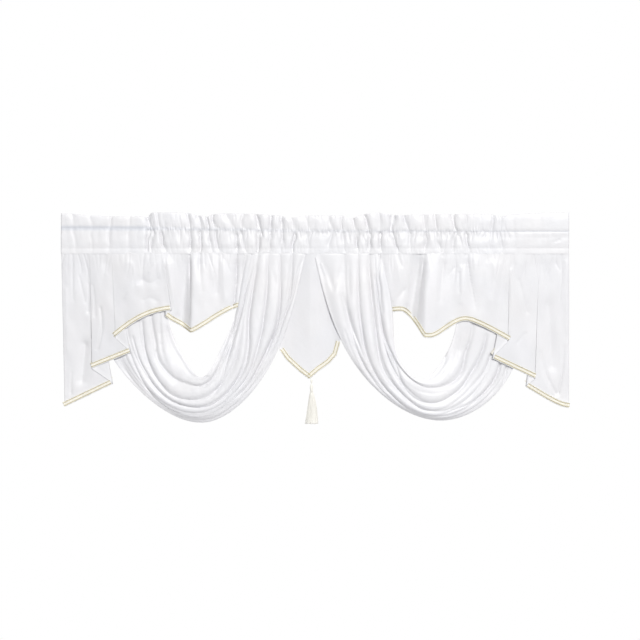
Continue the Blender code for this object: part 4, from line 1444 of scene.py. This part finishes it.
def tail_surface(rows, creases, seed, cloth):
    """Middle surface of a tail, from the seam down to the hem."""
    section = b_spline(fold_controls(rows), TAIL_STEPS)
    runs = np.diff((section[:, :1] + section[:, 1:2]) / 2, axis=0)
    turns = np.diff(section[:, 3:], axis=0)
    lengths = running(np.hypot(runs, turns).ravel())
    places = np.linspace(0, lengths[-1], int(lengths[-1] / TAIL_PITCH))
    x_seam, x_hem, hem, forward = read_rows(places, lengths, section).T
    grid = []
    for level in np.linspace(0, 1, TAIL_ROWS):
        depth = between((FORWARD_AT_SEAM, 1), 1 - (1 - level) ** FORWARD_POWER)
        x = between((x_seam, x_hem), level)
        drop = between((SEAM_TOP, hem), level)
        grid.append(np.stack([x, drop, TAIL_LAYER + forward * depth], axis=1))
    grid = np.array(grid)
    toward_middle = math.copysign(1, rows[-1][1] - rows[0][1])
    facing = np.gradient(grid[..., 0], axis=1) * toward_middle > 0
    calm = ramp(grid[..., 1] - SEAM_DROP, SEAM_CALM, TAIL_CALM_LEAST)
    start, stop = sorted((rows[0][1], rows[-1][1]))
    small = gathers(start, stop, *TAIL_GATHERS, seed + 2)
    pressed = crease_depth(grid[..., 0], grid[..., 1], (*creases, *small)) * calm
    grid[..., 2] -= pressed * facing * cloth.crease_strength
    hang_unevenly(grid, seed, cloth.wave_strength)
    return grid


def swag_lines(rows, leg_drops):
    """Each fold line of a swag as a smooth U through its seven stations."""
    back_leg, front_leg = leg_drops
    lines = []
    for i, row in enumerate(rows):
        flat = np.array([
            (row[1], SEAM_DROP),
            (row[2], back_leg),
            (row[3], row[4]),
            (row[5], row[6]),
            (row[7], row[8]),
            (row[9], front_leg),
            (row[10], SEAM_DROP),
        ], dtype=float)
        across = i / (len(rows) - 1)
        belly = math.sin(math.pi * across)
        lean = (1 + math.cos(math.pi * min(1, across / SWAG_LEAN_REACH))) / 2
        forward = np.array(SWAG_FORWARD) + belly * np.array(SWAG_BELLY) + lean * np.array(SWAG_LEAN)
        forward = forward + (0.5 - across) * np.array(SWAG_TILT)
        knots = running(np.hypot(*np.diff(flat, axis=0).T))
        places = [
            place
            for start, stop, steps in zip(knots, knots[1:], SWAG_STEPS)
            for place in np.linspace(start, stop, steps, endpoint=False)
        ]
        values = np.column_stack([flat, forward])
        lines.append(natural_spline(knots, values, np.array([*places, knots[-1]])))
    return np.array(lines)


def swag_surface(rows, leg_drops, creases, seed, cloth):
    """Middle surface of a swag: ridges stand forward between its fold lines."""
    lines = swag_lines(rows, leg_drops)
    stations = np.linspace(0, 1, lines.shape[1])
    around = np.sin(math.pi * stations)
    calm = between((between(RIDGE_AT_SEAM, stations), 1), around ** between(RIDGE_POWER, stations))
    calm *= between((RIDGE_UNDER_TAIL, 1), ramp(stations - RIDGE_FREE[0], RIDGE_FREE[1]))
    bowl = ramp(around - BOWL_RISE[0], BOWL_RISE[1])
    lean = between(RIDGE_LEAN, bowl)
    roundness = between(RIDGE_ROUNDNESS, bowl)
    most = between(RIDGE_MOST, bowl)
    columns = []
    for i, (here, after) in enumerate(zip(lines, lines[1:])):
        width = np.linalg.norm((after - here)[:, :2], axis=1)
        height = np.minimum(width * RIDGE_RATIO, most) * np.minimum(width / RIDGE_WIDE, 1) * calm
        at_edge = (i == len(lines) - 2) * (stations > 0.5) * (1 - bowl)
        ridge_lean = between((lean, EDGE_LEAN), at_edge)
        ridge_roundness = between((roundness, EDGE_ROUNDNESS), at_edge)
        for share in np.arange(SWAG_COLUMNS) / SWAG_COLUMNS:
            column = between((here, after), share)
            column[:, 2] += height * np.sin(math.pi * share ** ridge_lean) ** ridge_roundness
            columns.append(column)
    columns.append(lines[-1])
    grid = np.array(columns).transpose(1, 0, 2)
    pressed = crease_depth(grid[..., 0], grid[..., 1], creases, SWAG_CREASE_WIDENED)
    seam_calm = np.clip((1 - stations) * SWAG_SEAM_CALM, CREASE_AT_FRONT_SEAM, 1)
    seam_calm *= between((CREASE_UNDER_TAIL, 1), ramp(stations - CREASE_FREE[0], CREASE_FREE[1]))
    press = seam_calm * between(SWAG_CREASE_SHARE, bowl)
    grid[..., 2] -= pressed * press[:, None] * cloth.crease_strength
    hang_unevenly(grid, seed, cloth.wave_strength)
    grid[[0, -1], :, 1] = SEAM_TOP
    return grid


def panel_surface(cloth):
    """Middle surface of the pointed panel."""
    rows = np.array(CENTRE_PANEL, dtype=float)
    shares = np.linspace(0, 1, PANEL_COLUMNS, endpoint=False)[:, None]
    section = np.concatenate([*(between(pair, shares) for pair in zip(rows, rows[1:])), rows[-1:]])
    x_seam, x_hem, hem, forward_seam, forward_hem = section.T
    grid = []
    for level in np.linspace(0, 1, PANEL_ROWS):
        x = between((x_seam, x_hem), level)
        drop = between((SEAM_TOP, hem), level)
        forward = between((forward_seam, forward_hem), level)
        forward = smooth_rows(forward[:, None], PANEL_COLUMNS)[:, 0]
        grid.append(np.stack([x, drop, PANEL_LAYER + forward], axis=1))
    grid = np.array(grid)
    calm = ramp(grid[..., 1] - SEAM_DROP, SEAM_CALM, PANEL_CALM_LEAST)
    pressed = crease_depth(grid[..., 0], grid[..., 1], PANEL_CREASES) * calm
    grid[..., 2] -= pressed * cloth.crease_strength
    hang_unevenly(grid, PANEL_SEED, cloth.wave_strength * PANEL_WAVES)
    return grid


def hem_runs(grid):
    """Splits a hem at its folds into runs of columns: the ones that face the room, and the returns."""
    hem = grid[-1]
    shown = np.gradient(hem[:, 0]) * math.copysign(1, hem[-1, 0] - hem[0, 0]) > 0
    cuts = np.flatnonzero(np.diff(shown.astype(int))) + 1
    runs = []
    for start, stop in zip([0, *cuts], [*cuts, len(shown)]):
        columns = stop - start
        length = np.linalg.norm(np.diff(hem[start:stop], axis=0), axis=1).sum()
        if length < BRAID_TRIM:
            continue
        if shown[start]:
            runs.append((max(start - 1, 0), stop))
        elif length > BRAID_RETURN_LEAST:
            trim = min(round(BRAID_TRIM / length * columns), (columns - 2) // 2)
            runs.append((start + trim, stop - trim))
    return runs


def hem_frames(hem, above, side, step):
    """Places along a run of the hem with the directions along it, up the cloth and out of its face."""
    lengths = running(np.linalg.norm(np.diff(hem, axis=0), axis=1))
    places = np.linspace(0, lengths[-1], int(lengths[-1] / step) + 1)
    line = read_rows(places, lengths, hem)
    along = unit(np.gradient(line, axis=0))
    up = read_rows(places, lengths, above - hem)
    up = unit(up - (up * along).sum(axis=1)[:, None] * along)
    up = unit(smooth_rows(up, int(BRAID_SMOOTHED / step)))
    out = np.cross(along, up)
    square = np.linalg.norm(out, axis=1)[:, None]
    stretch = 1 / np.clip(square, 1 / BRAID_STRETCH_MOST, 1)
    return places, line, up * stretch, out * (side / square)


def smooth_rows(rows, half):
    """Running average of rows over half a window on each side."""
    padded = np.concatenate([np.repeat(rows[:1], half, axis=0), rows, np.repeat(rows[-1:], half, axis=0)])
    window = np.hanning(2 * half + 3)[1:-1]
    window /= window.sum()
    return np.stack([np.convolve(column, window, mode="valid") for column in padded.T], axis=1)


def sweep(frames, across, lift, radius):
    """A yarn along a hem: across is its place up the cloth and lift its height off the face."""
    _, line, up, out = frames
    centre = line + up * across[:, None] + out * lift[:, None]
    run = unit(np.gradient(centre, axis=0))
    first = unit(np.cross(run, out))
    second = np.cross(first, run)
    rings = []
    for k in range(YARN_SIDES):
        angle = 2 * math.pi * (k + 0.5) / YARN_SIDES
        rings.append(centre + radius * (math.cos(angle) * first + math.sin(angle) * second))
    return close_tube(np.stack(rings, axis=1))


def close_tube(rings):
    """Points, four-sided walls and three-sided end faces of a closed tube, from its rings."""
    count, sides, _ = rings.shape
    index = np.arange(count * sides).reshape(count, sides)
    turned = np.roll(index, -1, axis=1)
    walls = np.stack([index[:-1], turned[:-1], turned[1:], index[1:]], axis=-1).reshape(-1, 4)
    points = np.concatenate([rings.reshape(-1, 3), rings[:1].mean(axis=1), rings[-1:].mean(axis=1)])
    start = count * sides
    first = np.stack([turned[0], index[0], np.full(sides, start)], axis=1)
    last = np.stack([index[-1], turned[-1], np.full(sides, start + 1)], axis=1)
    return points, walls, np.concatenate([first, last])


def join_tubes(name, tubes):
    """Makes one object of many closed tubes, each with its material's number."""
    points = []
    faces = []
    numbers = []
    start = 0
    for (places, walls, ends), number in tubes:
        points.append(places)
        faces += (walls + start).tolist() + (ends + start).tolist()
        numbers += [number] * (len(walls) + len(ends))
        start += len(places)
    piece = add_mesh(name, to_world(np.concatenate(points)), faces)
    piece.data.polygons.foreach_set("material_index", numbers)
    return piece


def add_braid(name, grid, side):
    """Lays the braid on the face of a sheet, along its hem."""
    braid = bpy.context.scene.valance_braid
    face = bpy.context.scene.valance_cloth.thickness / MM / 2 + BRAID_FACE_GAP
    repeat = braid.repeat / MM
    half = braid.width / MM / 2
    middle = half + BRAID_HEM_GAP
    tubes = []
    for start, stop in hem_runs(grid):
        above = grid[BRAID_SLOPE_ROW, start:stop]
        frames = hem_frames(grid[-1, start:stop], above, side, repeat / BRAID_STEPS)
        turn = 2 * math.pi * frames[0] / repeat
        for place in (-TWIST_PLACE, TWIST_PLACE):
            for phase in (0, math.pi):
                across = middle + half * place + TWIST_RADIUS * np.cos(turn + phase)
                lift = face + TWIST_LIFT + TWIST_RADIUS * np.sin(turn + phase)
                tubes.append((sweep(frames, across, lift, TWIST_YARN), GOLD_YARN))
        for edge in (-1, 1):
            scallop = EDGE_SCALLOP * np.abs(np.sin(turn / 2)) ** EDGE_SHARPNESS
            across = middle + edge * half * (EDGE_PLACE + scallop)
            lift = np.full(len(turn), face + EDGE_LIFT)
            tubes.append((sweep(frames, across, lift, EDGE_YARN), CREAM_YARN))
        across = middle + half * SCROLL_REACH * np.sin(turn)
        lift = face + SCROLL_LIFT + SCROLL_WAVE * np.cos(2 * turn)
        tubes.append((sweep(frames, across, lift, SCROLL_YARN), CREAM_YARN))
        tubes.append((ribbed_tape(frames, middle, half * EDGE_PLACE, face, turn), GROUND_TAPE))
    piece = join_tubes(name, tubes)
    for material in (
        yarn_material("cream rayon gimp", tuple(braid.cream), 0.55, 0.0, 0.3),
        yarn_material("gold lurex thread", tuple(braid.gold), 0.4, 0.25, 0.0),
        yarn_material("unbleached cotton tape", tuple(braid.ground), 0.8, 0.0, 0.1),
    ):
        piece.data.materials.append(material)
    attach(piece, ROOT)
    return piece


def ribbed_tape(frames, middle, half, face, turn):
    """The braid's woven ground: a thin closed strip with a rib at each pick."""
    _, line, up, out = frames
    ribs = TAPE_RIB * np.sin(turn * TAPE_RIBS)
    rings = []
    for share, lift in TAPE_SECTION:
        height = face + lift + ribs * (lift > 0)
        rings.append(line + up * (middle + half * share) + out * height[:, None])
    return close_tube(np.stack(rings, axis=1))


def deselect_all():
    """Leaves nothing selected and no object active."""
    if bpy.context.object and bpy.context.object.mode != "OBJECT":
        bpy.ops.object.mode_set(mode="OBJECT")
    bpy.ops.object.select_all(action="DESELECT")


def turned_form(name, rings, centre):
    """Turns a form as by hand: a circle, then one extrusion and one scaling for each further ring."""
    deselect_all()
    first_drop, first_radius = rings[0]
    start = to_world((centre[0], first_drop, centre[1]))
    bpy.ops.mesh.primitive_circle_add(
        vertices=RING_SIDES,
        radius=first_radius * MM,
        fill_type="NGON",
        location=start,
    )
    piece = bpy.context.object
    piece.name = name
    bpy.ops.object.mode_set(mode="EDIT")
    bpy.ops.mesh.select_all(action="SELECT")
    for (drop, radius), (next_drop, next_radius) in zip(rings, rings[1:]):
        fall = (0, 0, -(next_drop - drop) * MM)
        bpy.ops.mesh.extrude_region_move(TRANSFORM_OT_translate={"value": fall})
        grow = next_radius / radius
        pivot = to_world((centre[0], next_drop, centre[1]))
        bpy.ops.transform.resize(value=(grow, grow, 1), center_override=pivot)
    bpy.ops.mesh.select_all(action="SELECT")
    bpy.ops.mesh.normals_make_consistent(inside=False)
    bpy.ops.object.mode_set(mode="OBJECT")
    bpy.ops.object.transform_apply(location=True, rotation=True, scale=True)
    bpy.ops.object.shade_smooth()
    deselect_all()
    return piece


def wrap_ring(drop, radius, centre):
    """One turn of the thread that binds the tassel's neck."""
    deselect_all()
    bpy.ops.mesh.primitive_torus_add(
        major_segments=NECK_SEGMENTS,
        minor_segments=THREAD_SEGMENTS,
        major_radius=radius * MM,
        minor_radius=NECK_THREAD * MM,
        location=to_world((centre[0], drop, centre[1])),
    )
    ring = bpy.context.object
    bpy.ops.object.transform_apply(location=True, rotation=True, scale=True)
    bpy.ops.object.shade_smooth()
    return ring


def skirt_place(radius, angle, levels):
    """Centre line of a strand that hangs from the neck's radius to the skirt's."""
    root, end = radius
    reach = root + (end - root) * levels ** SKIRT_BELLY
    x = TASSEL_X + reach * math.cos(angle) + SKIRT_BULGE * np.sin(math.pi * levels)
    forward = TASSEL_FORWARD + reach * SKIRT_FLATNESS * math.sin(angle)
    return x, forward


def skirt_core(tassel):
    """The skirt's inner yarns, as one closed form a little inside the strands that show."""
    levels = np.array(SKIRT_LEVELS)
    length = tassel.drop / MM - SKIRT_ROOT_DROP - CORE_INSET
    radius = np.array([SKIRT_ROOT, tassel.spread / MM]) * CORE_SHARE
    sides = []
    for k in range(CORE_SIDES):
        x, forward = skirt_place(radius, 2 * math.pi * k / CORE_SIDES, levels)
        sides.append(np.stack([x, SKIRT_ROOT_DROP + length * levels, forward], axis=1))
    return close_tube(np.stack(sides, axis=1)), 0


def skirt_strands(tassel):
    """Tubes of the skirt's strands, hung from the neck and spread toward their cut ends."""
    rng = np.random.default_rng(STRAND_SEED)
    golden = math.pi * (3 - math.sqrt(5))
    levels = np.array(SKIRT_LEVELS)
    bend = np.sin(math.pi * levels)
    thick = STRAND_RADIUS * (1 - STRAND_TAPER * levels)
    tubes = []
    for i in range(tassel.strands):
        share = ((i + 0.5) / tassel.strands) ** STRAND_CROWD
        angle = i * golden
        end = tassel.spread / MM * share * rng.uniform(*STRAND_REACH)
        length = tassel.drop / MM - SKIRT_ROOT_DROP - rng.uniform(0, STRAND_CUT)
        sway = rng.uniform(-STRAND_SWAY, STRAND_SWAY, 2)
        x, forward = skirt_place((SKIRT_ROOT * share, end), angle, levels)
        drop = SKIRT_ROOT_DROP + length * levels
        centre = np.stack([x + sway[0] * bend, drop, forward + sway[1] * bend], axis=1)
        rings = []
        for k in range(STRAND_SIDES):
            turn = 2 * math.pi * k / STRAND_SIDES + angle
            offset = np.stack([thick * math.cos(turn), np.zeros_like(thick), thick * math.sin(turn)], axis=1)
            rings.append(centre + offset)
        tubes.append((close_tube(np.stack(rings, axis=1)), 0))
    return tubes


class VALANCE_OT_heading(bpy.types.Operator):
    """Gathers the heading: the ruffle, its stitch line and the rod pocket."""

    bl_idname = "valance.heading"
    bl_label = "Heading"

    def execute(self, context):
        cloth = context.scene.valance_cloth
        grid = heading_surface(cloth.crease_strength)
        drop = grid[..., 1]
        band = ramp(drop - SEAM_BAND_DROP, DOUBLED_CHANGE)
        ruffle = ramp(RUFFLE_DROP - drop, DOUBLED_CHANGE) * RUFFLE_DOUBLED
        piece = add_cloth("satin_heading", grid, satin_material(), np.maximum(band, ruffle))
        # The painted shade of the stitch line, as a value on each point of the heading
        add_values(piece.data, "painted_stitch_shade", stitch_shade_strength(grid))
        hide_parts("heading")
        return {"FINISHED"}


class VALANCE_OT_tails(bpy.types.Operator):
    """Pleats the two tails and sews the braid along their stepped hems."""

    bl_idname = "valance.tails"
    bl_label = "Tails and their braid"

    def execute(self, context):
        cloth = context.scene.valance_cloth
        sides = (
            ("left", TAIL_LEFT, TAIL_LEFT_CREASES, 21, -1),
            ("right", TAIL_RIGHT, TAIL_RIGHT_CREASES, 31, 1),
        )
        for side, rows, creases, seed, face in sides:
            grid = tail_surface(rows, creases, seed, cloth)
            hem = np.zeros(grid.shape[:2])
            hem[-HEM_ROWS:] = 1
            piece = add_cloth(f"satin_tail_{side}", grid, satin_material(), hem, flip=side == "right")
            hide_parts(f"jabot_{side}")
            braid = add_braid(f"gimp_braid_{side}", grid, face)
            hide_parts(f"braid_{side}")
        return {"FINISHED"}


class VALANCE_OT_swags(bpy.types.Operator):
    """Drapes the two swags between their legs."""

    bl_idname = "valance.swags"
    bl_label = "Swags"

    def execute(self, context):
        cloth = context.scene.valance_cloth
        sides = (
            ("left", SWAG_LEFT, SWAG_LEG_DROPS_LEFT, SWAG_LEFT_CREASES, 51),
            ("right", SWAG_RIGHT, SWAG_LEG_DROPS_RIGHT, SWAG_RIGHT_CREASES, 61),
        )
        for side, rows, legs, creases, seed in sides:
            grid = swag_surface(rows, legs, creases, seed, cloth)
            hem = np.zeros(grid.shape[:2])
            hem[:, :EDGE_COLUMNS] = 1
            hem[:, -EDGE_COLUMNS:] = 1
            piece = add_cloth(f"satin_swag_{side}", grid, satin_material(), hem, flip=side == "right")
            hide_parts(f"swag_{side}")
        return {"FINISHED"}


class VALANCE_OT_panel(bpy.types.Operator):
    """Hangs the pointed middle panel with its braid."""

    bl_idname = "valance.panel"
    bl_label = "Middle panel"

    def execute(self, context):
        cloth = context.scene.valance_cloth
        grid = panel_surface(cloth)
        hem = np.zeros(grid.shape[:2])
        hem[-HEM_ROWS:] = 1
        piece = add_cloth("satin_panel", grid, satin_material(), hem)
        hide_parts("centre_panel")
        braid = add_braid("gimp_braid_centre", grid, -1)
        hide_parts("braid_centre")
        return {"FINISHED"}


class VALANCE_OT_tassel(bpy.types.Operator):
    """Ties the tassel that hangs from the panel's point."""

    bl_idname = "valance.tassel"
    bl_label = "Tassel"

    def execute(self, context):
        tassel = context.scene.valance_tassel
        centre = (TASSEL_X, TASSEL_FORWARD)
        yarn = yarn_material("ivory rayon yarn", tuple(tassel.colour), 0.5, 0.0, 0.35, through=0.15)
        head = turned_form("tassel_head", TASSEL_RINGS, centre)
        wraps = [wrap_ring(NECK_DROP + k * NECK_PITCH, NECK_RADIUS, centre) for k in range(NECK_WRAPS)]
        skirt = join_tubes("tassel_skirt", [skirt_core(tassel), *skirt_strands(tassel)])
        deselect_all()
        for part in [skirt, *wraps, head]:
            part.select_set(True)
        context.view_layer.objects.active = head
        bpy.ops.object.join()
        piece = context.object
        piece.name = "rayon_tassel"
        piece.data.materials.clear()
        piece.data.materials.append(yarn)
        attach(piece, ROOT)
        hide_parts("tassel")
        deselect_all()
        return {"FINISHED"}


class VALANCE_OT_stage(bpy.types.Operator):
    """Sets the pale floor, the white surround, the lights and the camera."""

    bl_idname = "valance.stage"
    bl_label = "Stage"

    def execute(self, context):
        stage = context.scene.valance_stage
        self.lay_floor(stage)
        self.light(context, stage)
        self.place_camera(context, stage)
        context.scene.view_settings.view_transform = "Standard"
        return {"FINISHED"}

    def lay_floor(self, stage):
        """A pale matte floor below the curtain."""
        deselect_all()
        bpy.ops.mesh.primitive_plane_add(size=FLOOR_SIZE, location=(0, 0, -stage.floor_drop))
        floor = bpy.context.object
        floor.name = "floor"
        bpy.ops.object.mode_set(mode="EDIT")
        bpy.ops.mesh.subdivide(number_cuts=3)
        bpy.ops.object.mode_set(mode="OBJECT")
        bpy.ops.object.transform_apply(location=True, rotation=True, scale=True)
        material, tree = new_material("pale matte floor", linear("#E4E4E6")[:3])
        place = add_node(tree, "ShaderNodeTexCoord").outputs["Object"]
        grain = add_node(tree, "ShaderNodeTexNoise", {}, {"Scale": 90.0}, [(place, "Vector")])
        bump = add_node(
            tree,
            "ShaderNodeBump",
            {},
            {"Strength": 0.1, "Distance": 0.001},
            [(grain.outputs["Fac"], "Height")],
        )
        shader = add_node(
            tree,
            "ShaderNodeBsdfPrincipled",
            {},
            {"Base Color": linear("#E4E4E6"), "Roughness": 0.9},
            [(bump.outputs["Normal"], "Normal")],
        )
        add_node(tree, "ShaderNodeOutputMaterial", {}, {}, [(shader.outputs["BSDF"], "Surface")])
        floor.data.materials.append(material)

    def light(self, context, stage):
        """A white surround and one large soft light from above and a little to the right of the camera."""
        world = bpy.data.worlds.new("studio surround")
        world.use_nodes = True
        tree = world.node_tree
        surround = tree.nodes["Background"]
        surround.inputs["Strength"].default_value = stage.sky
        direction = add_node(tree, "ShaderNodeTexCoord").outputs["Generated"]
        axes = add_node(tree, "ShaderNodeSeparateXYZ", links=[(direction, "Vector")]).outputs
        height = add_node(
            tree,
            "ShaderNodeMapRange",
            {"interpolation_type": "SMOOTHSTEP"},
            {"From Min": -0.7, "From Max": 0.9, "To Min": stage.room_low, "To Max": stage.room_high},
            [(axes["Z"], "Value")],
        )
        behind = add_node(
            tree,
            "ShaderNodeMapRange",
            {"interpolation_type": "SMOOTHSTEP"},
            {"From Min": -0.35, "From Max": 0.35, "To Min": 0.0, "To Max": 1.0},
            [(axes["Y"], "Value")],
        )
        room = add_node(
            tree,
            "ShaderNodeMix",
            {"data_type": "FLOAT"},
            {"B": 1.0},
            [(behind.outputs["Result"], "Factor"), (height.outputs["Result"], "A")],
        )
        tree.links.new(room.outputs["Result"], surround.inputs["Color"])
        context.scene.world = world
        lamp = bpy.data.lights.new("key light", "AREA")
        lamp.shape = "RECTANGLE"
        lamp.size, lamp.size_y = LIGHT_SIZE
        lamp.energy = stage.key
        light = bpy.data.objects.new("key light", lamp)
        context.collection.objects.link(light)
        light.location = LIGHT_PLACE
        aim = np.array(LIGHT_AIM) - np.array(light.location)
        light.rotation_euler = Vector(aim).to_track_quat("-Z", "Y").to_euler()

    def place_camera(self, context, stage):
        """A level camera square to the curtain, framed as the photograph."""
        camera = bpy.data.cameras.new("camera")
        camera.sensor_width = SENSOR
        camera.lens = camera.sensor_width * stage.distance / (stage.pixel * PICTURE)
        camera.clip_end = VIEW_END
        item = bpy.data.objects.new("camera", camera)
        context.collection.objects.link(item)
        across = (PICTURE_MIDDLE - CURTAIN_COLUMN) * stage.pixel
        height = -(PICTURE_MIDDLE - CURTAIN_ROW) * stage.pixel
        item.location = (across, -stage.distance, height)
        item.rotation_euler = (math.pi / 2, 0, 0)
        context.scene.camera = item


class VALANCE_PT_panel(bpy.types.Panel):
    """Lists the pieces and their settings."""

    bl_idname = "VALANCE_PT_panel"
    bl_label = "Swag valance"
    bl_space_type = "VIEW_3D"
    bl_region_type = "UI"
    bl_category = "Valance"

    def draw(self, context):
        layout = self.layout
        for kind in OPERATORS:
            layout.operator(kind.bl_idname)
        for holder, group in SETTINGS.items():
            box = layout.box()
            for name in group.__annotations__:
                box.prop(getattr(context.scene, holder), name)


SETTINGS = {
    "valance_cloth": ValanceCloth,
    "valance_braid": ValanceBraid,
    "valance_tassel": ValanceTassel,
    "valance_stage": ValanceStage,
}
OPERATORS = (
    VALANCE_OT_stage,
    VALANCE_OT_heading,
    VALANCE_OT_tails,
    VALANCE_OT_swags,
    VALANCE_OT_panel,
    VALANCE_OT_tassel,
)


def register():
    """Registers the settings, the operators and the panel."""
    for holder, group in SETTINGS.items():
        bpy.utils.register_class(group)
        setattr(bpy.types.Scene, holder, bpy.props.PointerProperty(type=group))
    for kind in (*OPERATORS, VALANCE_PT_panel):
        bpy.utils.register_class(kind)


def unregister():
    """Takes them away again."""
    for kind in (VALANCE_PT_panel, *reversed(OPERATORS)):
        bpy.utils.unregister_class(kind)
    for holder, group in SETTINGS.items():
        delattr(bpy.types.Scene, holder)
        bpy.utils.unregister_class(group)


def main():
    """Makes every piece in order."""
    register()
    deselect_all()
    bpy.ops.valance.stage()
    bpy.ops.valance.heading()
    bpy.ops.valance.tails()
    bpy.ops.valance.swags()
    bpy.ops.valance.panel()
    bpy.ops.valance.tassel()


if __name__ == "__main__":
    main()
